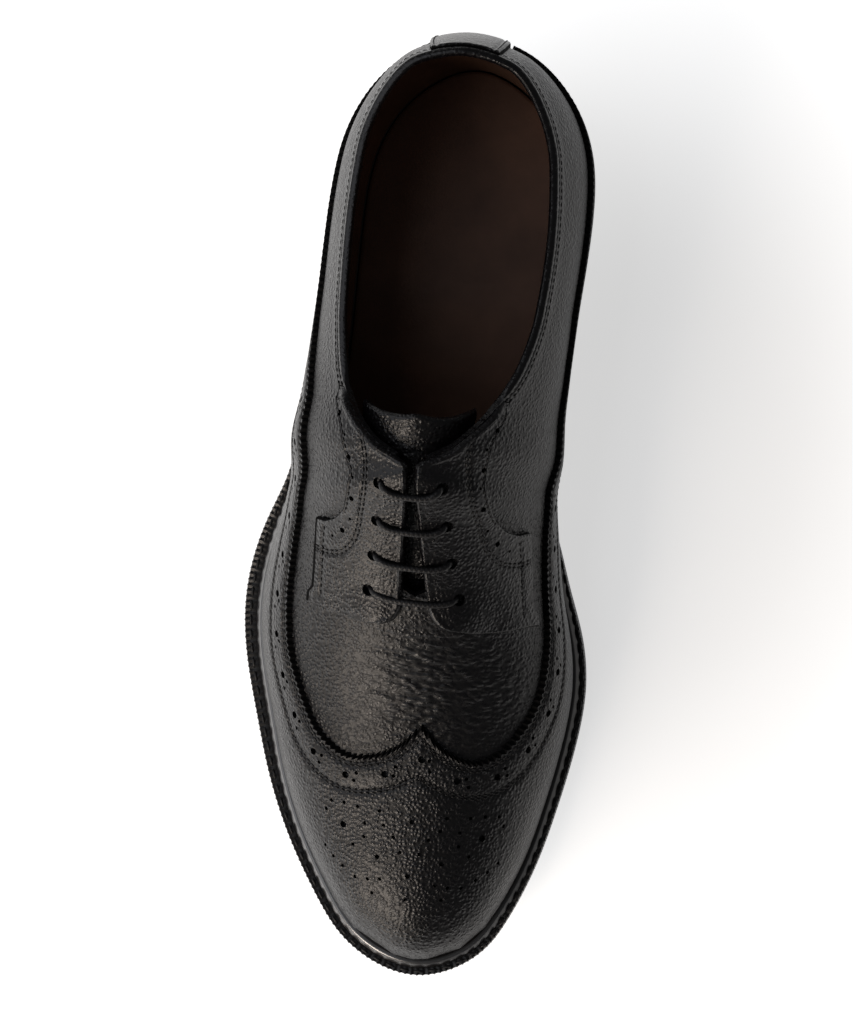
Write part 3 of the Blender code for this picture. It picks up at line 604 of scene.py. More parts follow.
# Middle of the collar or ridge by station, and half of the slit's width by station
MIDDLE_LINE = [
    (15.0, 1.0), (45.0, 1.1), (67.0, 1.0), (87.5, 0.5), (104.0, -0.5), (118.0, -2.3), (129.0, -3.0),
    (137.0, -2.8), (149.0, -2.0), (163.0, -1.0), (179.0, 0.6), (193.0, 2.4), (209.7, 5.0),
]
UPPER_SLIT = [(130.0, 4.5), (150.0, 5.0), (166.0, 5.5), (171.0, 4.0), (174.0, 0.0)]
COLLAR_ROW = 6.5
SLIT_ROW = 7.0
RIDGE_ROW = 9.0
last_table = dict(zip(LAST_COLUMNS, np.array(LAST).T))
for name, values in last_table.items():
    RING[name] = around(values, values)
RING["spread"] = around(-last_table["spread"], last_table["spread"])
RING["top_height"] = around(
    last_table["top_height"], last_table["top_height"] + MEDIAL_RISE * last_table["spread"] / 30.0)


def ring_monotone(values, p):
    """Curve through a ring of values that never overshoots them, at ring positions p."""
    count = len(values)
    before = values - np.roll(values, 1)
    after = np.roll(before, -1)
    same = before * after > 0
    slope = np.where(same, 2 * before * after / np.where(same, before + after, 1), 0)
    k = np.floor(p).astype(int)
    f = p - k
    a, b = k % count, (k + 1) % count
    return (
        values[a] * (1 + 2 * f) * (1 - f) ** 2
        + slope[a] * f * (1 - f) ** 2
        + values[b] * f * f * (3 - 2 * f)
        + slope[b] * f * f * (f - 1)
    )


def row_of(p):
    """Section number at a ring position, the same on both sides."""
    p = np.mod(p, 2 * ROWS)
    return np.minimum(p, 2 * ROWS - p)


def feather(p):
    """Line where the upper meets the welt."""
    plan = edge(p, ring_round(RING["margin"], p))
    height = sole_height(-plan[..., 1]) + OUTSOLE + WELT + 2 * GAP
    return np.concatenate([plan, height[..., None]], -1)


def top_line(p):
    """Collar at the back, ridge of the vamp at the front."""
    station = ring_monotone(RING["top_station"], p)
    x = monotone(MIDDLE_LINE, station) + ring_monotone(RING["spread"], p)
    return np.stack([x, -station, ring_monotone(RING["top_height"], p)], -1)


def last_point(p, t):
    """Outside of the upper: t runs from the welt, 0, to the collar or ridge, 1."""
    p, t = np.broadcast_arrays(np.asarray(p, float), np.asarray(t, float))
    low, high = feather(p), top_line(p)
    square = inward(p)
    across = (high - low)[..., :2]
    across = across / np.linalg.norm(across, axis=-1, keepdims=True)
    closed = np.clip((row_of(p) - COLLAR_ROW) / (RIDGE_ROW - COLLAR_ROW), 0, 1)[..., None]
    across = square * (1 - closed) + across * closed
    across /= np.linalg.norm(across, axis=-1, keepdims=True)
    chord = np.linalg.norm(high - low, axis=-1)[..., None]
    lean = np.radians(ring_round(RING["lean"], p))[..., None]
    fall = ring_monotone(RING["fall"], p)[..., None] * across[..., 1:]
    rise = np.radians(ring_monotone(RING["rise"], p))[..., None] + np.arctan(fall)
    start = np.concatenate([-square * np.sin(lean), np.cos(lean)], -1)
    end = np.concatenate([across * np.cos(rise), np.sin(rise)], -1)
    second = low + start * chord * ring_round(RING["foot"], p)[..., None]
    third = high - end * chord * ring_round(RING["crown"], p)[..., None]
    t = t[..., None]
    return (1 - t) ** 3 * low + 3 * t * (1 - t) ** 2 * second + 3 * t * t * (1 - t) * third + t**3 * high


def last_normal(p, t):
    p, t = np.broadcast_arrays(np.asarray(p, float), np.asarray(t, float))
    t = np.clip(t, 0.004, 0.996)
    step = 2e-3
    along = last_point(p + step, t) - last_point(p - step, t)
    up = last_point(p, t + step) - last_point(p, t - step)
    normal = np.cross(along, up)
    normal /= np.linalg.norm(normal, axis=-1, keepdims=True)
    return normal


def raised(p, t, height):
    """Point that far outside the upper, or inside it where height is negative."""
    p, t = np.broadcast_arrays(np.asarray(p, float), np.asarray(t, float))
    normal = last_normal(p, t)
    closed = (t > 0.9999) & (row_of(p) > RIDGE_ROW)
    if closed.any():
        shared = normal[closed] + last_normal(2 * ROWS - p[closed], t[closed])
        normal[closed] = shared / np.linalg.norm(shared, axis=-1, keepdims=True)
    return last_point(p, t) + normal * np.asarray(height)[..., None]


def wall_runs(p):
    """Even steps of t, and the distance up the wall at each of them, for each p."""
    fine = np.linspace(0, 1, 161)
    line = last_point(np.atleast_1d(p)[:, None], fine[None])
    step = np.linalg.norm(np.diff(line, axis=1), axis=2)
    return fine, np.concatenate([np.zeros((len(line), 1)), np.cumsum(step, axis=1)], 1)


def t_from_welt(p, distance):
    """t at a distance up the wall from the welt, for each p."""
    fine, runs = wall_runs(p)
    wanted = np.broadcast_to(distance, len(runs))
    return np.array([np.interp(far, run, fine) for far, run in zip(wanted, runs)])


def t_from_top(p, distance):
    """t at a distance down the wall from the collar or ridge, for each p."""
    fine, runs = wall_runs(p)
    wanted = runs[:, -1] - distance
    return np.array([np.interp(far, run, fine) for far, run in zip(wanted, runs)])


def t_at_slit(p, slit, more=0.0):
    """t where a line meets the edge of the throat's slit. It is 1 along the collar and past the slit."""
    p = np.atleast_1d(p)
    station = -top_line(p)[..., 1]
    half = np.where(row_of(p) > SLIT_ROW, monotone(slit, station), 0) + more
    spread = np.abs(ring_monotone(RING["spread"], p))
    return t_from_top(p, np.clip(half - spread, 0, None))


def row_at_station(station):
    """Section number whose ridge or collar point lies at a station."""
    fine = np.linspace(0, ROWS, 761)
    return np.interp(station, -top_line(fine)[:, 1], fine)


# Pebble-grain calf, dyed through and finished with a resin glaze: black domes that catch the light one by
# one, dull valleys between them, finer pores on top. The valleys are also coloured darker than the domes,
# painted shade in the hollows of the grain. flex draws the pebbles out across the foot, calm stretches them
# smooth, and a third attribute raises the coat along the welt: partly polish rubbed in, partly a painted
# highlight.
PEBBLE = 1.2 * MM
FOLD = 1.45 * MM
PORE = 0.4 * MM
leather, tree, shader, place = new_material("pebble-grain calf")
drift = add_node(tree, "ShaderNodeTexNoise", {"Vector": place, "Scale": 1 / (4 * MM), "Detail": 2.0})
warped = add_node(tree, "ShaderNodeVectorMath", {0: drift.outputs["Color"], 1: (1.4 * MM,) * 3, 2: place},
                  operation="MULTIPLY_ADD")
pebbles = add_node(tree, "ShaderNodeTexVoronoi", {"Vector": warped.outputs[0], "Scale": 1 / PEBBLE,
                                                  "Randomness": 0.85}, feature="F1")
drawn = add_node(tree, "ShaderNodeMapping", {"Vector": warped.outputs[0], "Scale": (0.42, 1.0, 0.75)})
folds = add_node(tree, "ShaderNodeTexVoronoi", {"Vector": drawn.outputs[0], "Scale": 1 / FOLD}, feature="F1")
flex = add_node(tree, "ShaderNodeAttribute", {}, attribute_name="flex")
creased = add_node(tree, "ShaderNodeMapRange", {0: flex.outputs["Fac"], 1: 0.05, 2: 0.9})
calm = add_node(tree, "ShaderNodeAttribute", {}, attribute_name="calm")
domes = add_node(tree, "ShaderNodeMapRange", {0: pebbles.outputs["Distance"], 2: 0.75, 3: 1.0, 4: 0.0},
                 interpolation_type="SMOOTHSTEP")
ridges = add_node(tree, "ShaderNodeMapRange", {0: folds.outputs["Distance"], 2: 0.75, 3: 1.3, 4: 0.0},
                  interpolation_type="SMOOTHSTEP")
relief = add_node(tree, "ShaderNodeMix", {0: creased.outputs[0], 2: domes.outputs[0], 3: ridges.outputs[0]})
strength = add_node(tree, "ShaderNodeMapRange", {0: calm.outputs["Fac"], 3: 1.0, 4: 0.15})
pores = add_node(tree, "ShaderNodeTexNoise", {"Vector": place, "Scale": 1 / PORE, "Detail": 2.0})
coarse = add_node(tree, "ShaderNodeBump", {"Height": relief.outputs[0], "Strength": strength.outputs[0],
                                           "Distance": 0.3 * MM})
fine = add_node(tree, "ShaderNodeBump", {"Height": pores.outputs[0], "Strength": 0.5, "Distance": 0.1 * MM,
                                         "Normal": coarse.outputs[0]})
# Coat raised along the welt: partly polish, partly painted highlight
wax_and_painted_highlight = add_node(tree, "ShaderNodeAttribute", {}, attribute_name="wax_and_painted_highlight")
coat_for_polish_and_highlight = add_node(tree, "ShaderNodeMapRange", {0: wax_and_painted_highlight.outputs["Fac"], 3: 0.03, 4: 1.0})
# Valleys coloured darker than the dome tops: painted shade in the hollows of the grain
tone = add_node(tree, "ShaderNodeMix", {0: domes.outputs[0], 6: linear("#050406"), 7: linear("#110F12")},
                data_type="RGBA")
grained = add_node(tree, "ShaderNodeMapRange", {0: domes.outputs[0], 3: 0.46, 4: 0.24})
gloss = add_node(tree, "ShaderNodeMix", {0: calm.outputs["Fac"], 2: grained.outputs[0], 3: 0.26})
add_node(tree, shader, {
    "Base Color": tone.outputs[2], "Roughness": gloss.outputs[0], "Normal": fine.outputs[0],
    "Coat Weight": coat_for_polish_and_highlight.outputs[0], "Coat Roughness": 0.25, "Coat IOR": 2.4,
    "Sheen Weight": 0.02, "Sheen Roughness": 0.3})

COLLAR_SEAMS = (1.6, 3.3)
COLLAR_STITCH = (1.5, 0.55)
COLLAR_STITCH_PITCH = 2.0
COLLAR_STITCH_LIFT = 0.22
COLLAR_FADE = (6.3, 6.9)
# Roll of the folded collar: height, reach down the wall, depth of its seams
COLLAR_ROLL = (0.5, 3.6, 0.3)
RIM_ROUND = 1.3
closed_row = row_at_station(UPPER_SLIT[-1][0])
upper_rows = np.unique(np.concatenate(
    [np.linspace(0, 11.5, 130), np.linspace(11.5, 15.5, 110), np.linspace(15.5, ROWS, 44), [closed_row]]))
COLLAR_STEPS = [0.0, 0.4, 0.8, 1.2, 1.4, 1.6, 1.8, 2.1, 2.5, 2.9, 3.1, 3.3, 3.5, 3.8, 4.5, 5.5]
WALL_STEPS = 50
LINING_STEPS = 26
RIM_STEPS = 9
# Past the steps near the collar, a distance that no seam or roll reaches
FAR = 99.0
# Wrinkles over the vamp: station in the middle, lateral and medial end, bow towards the heel, width, depth
WRINKLES = [
    (184.6, -9.0, 6.0, 1.2, 0.8, 0.20), (187.0, -13.0, 15.0, 2.2, 0.9, 0.26),
    (189.8, -7.0, 22.0, 2.8, 0.9, 0.24), (192.2, -15.0, 11.0, 2.0, 0.8, 0.28),
    (194.8, -4.0, 27.0, 3.4, 0.9, 0.24), (197.3, -16.0, 14.0, 2.4, 0.8, 0.30),
    (200.0, -9.0, 24.0, 3.2, 0.9, 0.26), (202.6, -3.0, 28.0, 3.6, 0.8, 0.24),
    (205.0, -14.0, 13.0, 2.4, 0.9, 0.28), (207.7, -6.0, 24.0, 3.4, 0.8, 0.24),
    (210.4, 0.0, 27.0, 3.6, 0.9, 0.22), (213.0, -9.0, 17.0, 2.6, 0.8, 0.22),
    (215.8, 1.0, 25.0, 3.4, 0.9, 0.18), (182.4, 12.0, 28.0, 1.6, 0.8, 0.22),
    (218.6, -3.0, 20.0, 3.0, 0.9, 0.16),
]


def wrinkled(points):
    """Height that the wrinkles add to points of the vamp: a trough between two low ridges for each."""
    total = np.zeros(points.shape[:-1])
    for station, left, right, bow, width, depth in WRINKLES:
        reach = (right - left) / 2
        share = (points[..., 0] - (left + right) / 2) / reach
        off = (-points[..., 1] - station + bow * share**2) / width
        trough = -np.exp(-(off**2))
        banks = 0.5 * np.exp(-((np.abs(off) - 1.7) ** 2))
        total += depth * ease(2.2 * (1 - np.abs(share))) * (trough + banks)
    return total


def t_below(p, top, distances):
    """t at distances down the wall from a line of t values, one row for each p."""
    fine, runs = wall_runs(p)
    tops = np.array([np.interp(one, fine, run) for one, run in zip(top, runs)])
    wanted = np.clip(tops[:, None] - distances, 0, None)
    return np.array([np.interp(far, run, fine) for far, run in zip(wanted, runs)])


def groove(distance, at=0.0, width=0.45):
    """Share of a seam's depth by the distance from a line, for a seam that lies so far from it."""
    return np.exp(-(((distance - at) / width) ** 2))


grids, paints = [], []
collar_lines = {at: [] for at in COLLAR_SEAMS}
for p in (upper_rows, 2 * ROWS - upper_rows):
    top = t_at_slit(p, UPPER_SLIT)
    top[upper_rows >= closed_row - 1e-6] = 1.0
    near = t_below(p, top, COLLAR_STEPS)
    t = np.concatenate([near, near[:, -1:] * (1 - np.linspace(0, 1, WALL_STEPS)[1:])], 1)
    t[:, 0] = top
    far = np.concatenate([COLLAR_STEPS, np.full(WALL_STEPS - 1, FAR)])
    collar = 1 - ease((upper_rows - COLLAR_FADE[0]) / (COLLAR_FADE[1] - COLLAR_FADE[0]))[:, None]
    rolled, roll_reach, sunk = COLLAR_ROLL
    roll = rolled * np.exp(-((far / roll_reach) ** 4)) - sunk * sum(groove(far, at) for at in COLLAR_SEAMS)
    outer = raised(p[:, None], t, collar * roll)
    outer += last_normal(p[:, None], t) * wrinkled(outer)[..., None]
    inner = raised(p[:, None], top[:, None] * np.linspace(1, 0, LINING_STEPS), -WALL)
    open_rows = upper_rows <= closed_row + 1e-6
    step = 1e-3
    up = last_point(p, top) - last_point(p, top - step)
    up /= np.linalg.norm(up, axis=-1, keepdims=True)
    swell = RIM_ROUND * collar
    rim = [
        outer[:, 0] * (1 - share) + inner[:, 0] * share + up * swell * np.sin(np.pi * share) ** 0.8
        for share in 0.5 - 0.5 * np.cos(np.linspace(0, np.pi, RIM_STEPS))
    ]
    grids += [outer, inner, np.stack([outer[:, -1], inner[:, -1]]), np.stack(rim, 1)[open_rows]]
    paints += [0, 1, 1, 0]
    sewn_rows = upper_rows < COLLAR_FADE[1]
    for at in COLLAR_SEAMS:
        seam_t = t_below(p, top, at)[:, 0]
        seam = raised(p, seam_t, COLLAR_STITCH_LIFT)
        collar_lines[at].append((seam[sewn_rows], last_normal(p, seam_t)[sewn_rows]))
upper = add_piece("upper_leather", grids, [leather, lining], paints)


def search_tree(points):
    tree = kdtree.KDTree(len(points))
    for number, point in enumerate(points):
        tree.insert(point, number)
    tree.balance()
    return tree


def distance_to(line, points):
    """Distance of points from the nearest point of a line of points."""
    tree = search_tree(line)
    flat_points = points.reshape(-1, 3).tolist()
    return np.array([tree.find(point)[2] for point in flat_points]).reshape(points.shape[:-1])


# The grain is stretched smooth near the collar: how much, how far down, over which distance it fades
COLLAR_CALM = (0.8, 8, 5)
# The vamp bends most here: place across and station, half width and half length, strength, lowest height
FLEX_SPOT = (13, 202)
FLEX_SIZE = (27, 23)
FLEX = 1.1
FLEX_ABOVE = 30
points = vertices(upper)
collar_line = top_line(np.linspace(-COLLAR_FADE[1], COLLAR_FADE[1], 500))
calmed, calm_reach, calm_fade = COLLAR_CALM
paint(upper, "calm", calmed * ease((calm_reach - distance_to(collar_line, points)) / calm_fade))
off_x, off_y = (points[:, 0] - FLEX_SPOT[0]) / FLEX_SIZE[0], (-points[:, 1] - FLEX_SPOT[1]) / FLEX_SIZE[1]
bent = np.exp(-(off_x**2) - off_y**2)
paint(upper, "flex", np.clip(FLEX * bent, 0, 1) * (points[:, 2] > FLEX_ABOVE))
fit(upper, "grained_leather", "upper")
seams = []
for lateral, medial in collar_lines.values():
    line, normals = (np.concatenate([left[::-1], right]) for left, right in zip(lateral, medial))
    seams.append((line, normals, COLLAR_STITCH_PITCH))
sew("collar_stitching", seams, COLLAR_STITCH)

# Wing. A longwing overlay of the same calf round the whole foot of the shoe, with a W point at the toe. Its
# edge is gimped with a toothed wheel, two pairs of seams hold it, and rows of punched holes and a toe
# medallion adorn it. Width of the wing up from the welt: section, lateral, medial
WING_WIDTH = [
    (0.0, 31.0, 31.0), (3.0, 29.0, 29.0), (4.0, 28.5, 28.5), (5.0, 31.5, 29.5), (6.0, 39.2, 32.0),
    (7.0, 48.8, 35.0), (8.0, 53.4, 37.5), (9.0, 49.4, 38.5), (10.0, 45.8, 37.5), (11.0, 42.8, 35.0),
    (12.0, 38.9, 33.2), (13.0, 36.1, 33.5), (14.0, 36.7, 37.4), (15.0, 42.9, 45.4), (16.0, 58.6, 61.5),
    (17.0, 75.0, 76.5), (18.0, 83.0, 83.6), (19.0, 88.2, 88.2),
]
BACKSTRAP_HALF = 0.70
GIMP_PITCH = 2.0
GIMP_DEPTH = 1.0
SHEET = 1.6
SHEET_EDGE = 0.9
UNDER = 0.05
GROOVE = 0.3
WING_SEAMS = (2.7, 3.7, 11.6, 12.6)
STITCH_PITCH = 2.1
STITCH = (1.5, 0.6)
STITCH_SINK = 0.14
# The strip between the seams is padded: rise and half width
STRIP = (0.2, 3.0)
HOLE_LINE = 7.2
HOLE_PITCH = 13.0
BIG_HOLE = 1.15
SMALL_HOLE = 0.6
PAIR = 1.3
PUNCH_HEIGHT = 0.8
PUNCH_DEPTH = 3.6
# Medallion: distance from its middle line, station and radius of each hole, the same on both sides
MEDALLION_MIDDLE = 4.5
MEDALLION = [
    (0.0, 244.0, 0.8), (10.1, 241.6, 0.6), (8.5, 245.8, 0.6), (17.1, 241.2, 0.6), (21.3, 240.4, 0.6),
    (25.3, 240.4, 0.6), (26.9, 243.4, 0.6), (14.3, 246.0, 0.6), (21.0, 247.4, 1.1), (5.3, 249.2, 0.6),
    (14.2, 250.4, 0.6), (17.5, 253.4, 0.6), (2.9, 253.8, 0.6), (9.8, 256.2, 0.8), (26.2, 255.3, 0.6),
    (23.3, 258.2, 0.6), (20.1, 260.9, 0.6), (16.1, 263.6, 0.6), (12.1, 263.6, 0.6), (8.4, 263.2, 0.6),
    (10.5, 267.8, 0.6), (0.0, 261.0, 0.8), (0.0, 268.6, 0.6),
]


def by_side(table, p):
    """Value of a table by section and side, at ring positions p."""
    row, lateral, medial = np.array(table).T
    lateral = monotone(np.stack([row, lateral], 1), row_of(p))
    medial = monotone(np.stack([row, medial], 1), row_of(p))
    return np.where(np.mod(p, 2 * ROWS) <= ROWS, lateral, medial)


def skirt_start(p):
    """t where an overlay starts, just clear of the welt."""
    lean = np.radians(np.clip(ring_round(RING["lean"], p), 0, 90))
    return t_from_welt(p, GAP + (SEAT + OVERLAY) * np.sin(lean) * 1.2)


def sheet_height(inside):
    """Height of a sheet's outer face by the distance from its edge, which is rounded."""
    return SHEET_EDGE + (SHEET - SHEET_EDGE) * np.sqrt(1 - (1 - np.clip(inside / 0.5, 0, 1)) ** 2)


# Cut edge of the leather: open black fibres without any gloss. It is also laid on bands of the outer face
# along cut edges, as edge ink and painted shade
cut_edge_and_painted_shade, tree, shader, place = new_material("raw cut edge of calf and painted shade")
fibres = add_node(tree, "ShaderNodeTexNoise", {"Vector": place, "Scale": 1 / (0.4 * MM), "Detail": 2.0})
tone = add_node(tree, "ShaderNodeMix", {0: fibres.outputs[0], 6: linear("#030303"), 7: linear("#0A090A")},
                data_type="RGBA")
add_node(tree, shader, {"Base Color": tone.outputs[2], "Roughness": 0.9, "Specular IOR Level": 0.15})
BEVEL = 0.55


def shell(outer, inner, ink_and_shade=0):
    """A sheet with two faces and four closed edges: outer face, inner face, first and last row, first and
    last column, then the first columns of the outer face, which take the cut edge's black as edge ink and
    painted shade."""
    return [
        outer[:, ink_and_shade:], inner, np.stack([outer[0], inner[0]]), np.stack([outer[-1], inner[-1]]),
        np.stack([outer[:, 0], inner[:, 0]]), np.stack([outer[:, -1], inner[:, -1]]), outer[:, : ink_and_shade + 1],
    ]


wing_first = BACKSTRAP_HALF + 0.03
dense = np.linspace(wing_first, 2 * ROWS - wing_first, 3200)
wing_edge = last_point(dense, t_from_welt(dense, by_side(WING_WIDTH, dense)))
run = arc_lengths(wing_edge)
teeth = round(run[-1] / GIMP_PITCH)
wing_p = np.interp(np.linspace(0, run[-1], 2 * teeth + 1), run, dense)
tooth = GIMP_DEPTH * np.tile([0.0, 1.0], teeth + 1)[: len(wing_p)]
wing_top = t_from_welt(wing_p, by_side(WING_WIDTH, wing_p))
wing_foot = skirt_start(wing_p)
walk = wing_top[:, None] + (wing_foot - wing_top)[:, None] * np.linspace(0, 1, 110)
away = np.maximum.accumulate(distance_to(wing_edge, last_point(wing_p[:, None], walk)), axis=1)


def wing_t(distance):
    """t on each line of the wing at a distance in from its edge."""
    wanted = np.broadcast_to(distance, len(wing_p))
    return np.array([np.interp(far, steps, values) for far, steps, values in zip(wanted, away, walk)])


# Lines of the mesh by the distance from the wing's edge: first those that follow its teeth, then the even
# ones
TOOTH_STEPS = (0.0, 0.1, 0.25, 0.5)
WING_STEPS = [
    2.45, 2.55, 2.7, 2.9, 3.2, 3.5, 3.7, 3.9, 4.4, 5.6, 7.2, 8.8, 10.4, 11.2, 11.4, 11.6, 11.8, 12.1,
    12.4, 12.6, 12.8, 13.3, 15.0,
]
FOOT_STEPS = 9
WING_GROOVE_WIDTH = 0.35
toothed = len(TOOTH_STEPS)
depths = [tooth + step for step in TOOTH_STEPS] + WING_STEPS
depths = np.stack([np.broadcast_to(depth, len(wing_p)) for depth in depths], 1)
t = np.stack([wing_t(depth) for depth in depths.T], 1)
cut_depths = depths[:, :toothed] + BEVEL
cut_t = np.stack([*(wing_t(depth) for depth in cut_depths.T), *t[:, toothed:].T], 1)
rest = t[:, -1:] + (wing_foot[:, None] - t[:, -1:]) * np.linspace(0, 1, FOOT_STEPS)[1:]
strip_rise, strip_half = STRIP
heights = sheet_height(depths - tooth[:, None])
heights += strip_rise * np.exp(-(((depths - HOLE_LINE) / strip_half) ** 4))
heights -= GROOVE * sum(groove(depths, at, WING_GROOVE_WIDTH) for at in WING_SEAMS)
heights = np.concatenate([heights, np.full(rest.shape, SHEET)], 1)
t = np.concatenate([t, rest], 1)
outer = raised(wing_p[:, None], np.concatenate([cut_t, rest], 1), heights)
inner = raised(wing_p[:, None], t, UNDER)
# The first rows of the outer face along the gimped edge take the cut edge's black: edge ink and painted shade
CUT_PAINTS = [0, 1, 1, 1, 1, 1, 1]
wing = add_piece("wing_panel", shell(outer, inner, toothed - 1), [leather, cut_edge_and_painted_shade], CUT_PAINTS)

# Punches are short round bars set square to the leather, each with its own radius
punches, given, turn = node_group("punched holes", ["Depth"])
bar = add_node(punches, "GeometryNodeMeshCylinder", {"Vertices": 12, "Radius": 1.0, "Depth": 1.0})
radius = add_node(punches, "GeometryNodeInputNamedAttribute", {"Name": "radius"}, data_type="FLOAT")
size = add_node(punches, "ShaderNodeCombineXYZ", {
    0: radius.outputs[0], 1: radius.outputs[0], 2: given["Depth"]})
placed = add_node(punches, "GeometryNodeInstanceOnPoints", {
    "Points": given["Points"], "Instance": bar.outputs[0], "Rotation": turn, "Scale": size.outputs[0]})
real = add_node(punches, "GeometryNodeRealizeInstances", {0: placed.outputs[0]})
add_node(punches, "NodeGroupOutput", {0: real.outputs[0]})


# A way that no hole of the shoe points
ASKEW = (0.31, 0.9, 0.3)


def punch(piece, points, normals, radii, depth):
    """Cuts round holes through a piece at points of the leather."""
    along = np.cross(normals, ASKEW)
    inputs = {"Depth": depth * MM}
    cutter = grow("punch", punches, points, {"along": along, "up": normals, "radius": radii * MM}, inputs)
    for material in (leather, cut_edge_and_painted_shade):
        cutter.data.materials.append(material)
    cutter.data.polygons.foreach_set("material_index", np.ones(len(cutter.data.polygons), np.int32))
    hole = piece.modifiers.new("holes", "BOOLEAN")
    hole.operation = "DIFFERENCE"
    hole.solver = "MANIFOLD"
    hole.object = cutter
    cut = bpy.data.meshes.new_from_object(piece.evaluated_get(bpy.context.evaluated_depsgraph_get()))
    piece.modifiers.clear()
    piece.data = cut
    cut.set_sharp_from_angle(angle=SHARP)
    bpy.data.objects.remove(cutter)


def strip_holes(line_at):
    """Places along a perforated strip: one big hole, then a pair of small ones across it. line_at gives the
    line and its normals at a distance from the edge."""
    line, normals = line_at(HOLE_LINE)
    points, _, up = spaced(line, normals, HOLE_PITCH)
    found = [(points, up, np.full(len(points), BIG_HOLE))]
    for across in (-PAIR, PAIR):
        line, normals = line_at(HOLE_LINE + across)
        points, _, up = spaced(line, normals, HOLE_PITCH / 2)
        points, up = points[1::2], up[1::2]
        found.append((points, up, np.full(len(points), SMALL_HOLE)))
    return found


def wing_line(distance, height=PUNCH_HEIGHT):
    """Line at a distance in from the wing's edge, with its normals."""
    t = wing_t(distance)
    return raised(wing_p, t, height), last_normal(wing_p, t)


# Each hole of the medallion goes to the nearest point, seen from above, of a fine net over the toe
TOE_NET = np.meshgrid(np.linspace(14.5, 23.5, 700), np.linspace(0.25, 0.99, 240))
toe_p, toe_t = (axis.ravel() for axis in TOE_NET)
toe_tree = search_tree(last_point(toe_p, toe_t) * (1, 1, 0))
spots = [
    (MEDALLION_MIDDLE + side * off, -station, 0.0, radius)
    for off, station, radius in MEDALLION
    for side in ((-1, 1) if off else (1,))
]
picked = np.array([toe_tree.find(spot[:3])[1] for spot in spots])
hole_p, hole_t = toe_p[picked], toe_t[picked]
toe_radii = np.array([spot[3] for spot in spots])
toe_holes = (raised(hole_p, hole_t, PUNCH_HEIGHT), last_normal(hole_p, hole_t), toe_radii)
holes = [np.concatenate(parts) for parts in zip(toe_holes, *strip_holes(wing_line))]
punch(wing, *holes, PUNCH_DEPTH)

# Polish and a painted highlight lie on the lowest part of the wall, up to this height and fading: the coat
# raised there paints the bright strip along the welt. The toe is stretched a little smooth
WAX_AND_PAINTED_HIGHLIGHT_BAND = (7, 5)
TOE_CALM = (0.35, 226, 14)
points = vertices(wing)
over_welt = points[:, 2] - sole_height(-points[:, 1]) - OUTSOLE - WELT
low_wall = ease((WAX_AND_PAINTED_HIGHLIGHT_BAND[0] - over_welt) / WAX_AND_PAINTED_HIGHLIGHT_BAND[1])
calmed, toe_start, toe_fade = TOE_CALM
paint(wing, "calm", np.maximum(low_wall, calmed * ease((-points[:, 1] - toe_start) / toe_fade)))
paint(wing, "wax_and_painted_highlight", low_wall)
fit(wing, "grained_leather", "wing")
seams = [(*wing_line(at, SHEET - STITCH_SINK), STITCH_PITCH) for at in WING_SEAMS]
sew("wing_stitching", seams, STITCH)

# Backstrap. A strip of the same calf over the back seam, from the welt to the collar. It hides the joint of
# the two quarters, and a row of stitches down each side holds it.
STRAP_SEAM = 1.8
STRAP_SEAM_SHARE = 0.86
STRAP_SEAM_TOP = 0.97
STRAP_SEAM_STEPS = 120
STRAP_STITCH_SINK = 0.1
STRAP_GROOVE_WIDTH = 0.4
STRAP_TOP = 0.992
STRAP_BEVEL = 0.96
STRAP_CALM = 0.4
strap_p = BACKSTRAP_HALF * np.sin(np.linspace(-0.5, 0.5, 60) * np.pi)
strap_shares = 0.5 - 0.5 * np.cos(np.linspace(0, np.pi, 110))
t = skirt_start(strap_p)[:, None] * (1 - strap_shares) + STRAP_TOP * strap_shares
ground = last_point(strap_p[:, None], t)


BORDER_STEP = 0.2


def border(grid):
    """Points close together round the edge of a grid."""
    loop = np.concatenate([grid[:, 0], grid[-1], grid[::-1, -1], grid[0, ::-1]])
    run = arc_lengths(loop)
    steps = np.linspace(0, run[-1], int(run[-1] / BORDER_STEP))
    return np.stack([np.interp(steps, run, loop[:, k]) for k in range(3)], 1)


inside = distance_to(border(ground), ground)
sides = distance_to(np.concatenate([ground[0], ground[-1]]), ground)
heights = sheet_height(inside) - GROOVE * groove(sides, STRAP_SEAM, STRAP_GROOVE_WIDTH)
outer = raised(strap_p[:, None] * STRAP_BEVEL, t, heights)
inner = raised(strap_p[:, None], t, UNDER)
backstrap = add_piece("backstrap_strip", shell(outer, inner), [leather, cut_edge_and_painted_shade], CUT_PAINTS)
paint(backstrap, "calm", np.full(len(backstrap.data.vertices), STRAP_CALM))
fit(backstrap, "grained_leather", "backstrap")
seams = []
for way in (-1, 1):
    seam_p = np.full(STRAP_SEAM_STEPS, way * BACKSTRAP_HALF * STRAP_SEAM_SHARE)
    seam_t = np.linspace(t[0, 6], STRAP_SEAM_TOP, STRAP_SEAM_STEPS)
    line = raised(seam_p, seam_t, SHEET - STRAP_STITCH_SINK)
    seams.append((line, last_normal(seam_p, seam_t), STITCH_PITCH))
sew("backstrap_stitching", seams, STITCH)

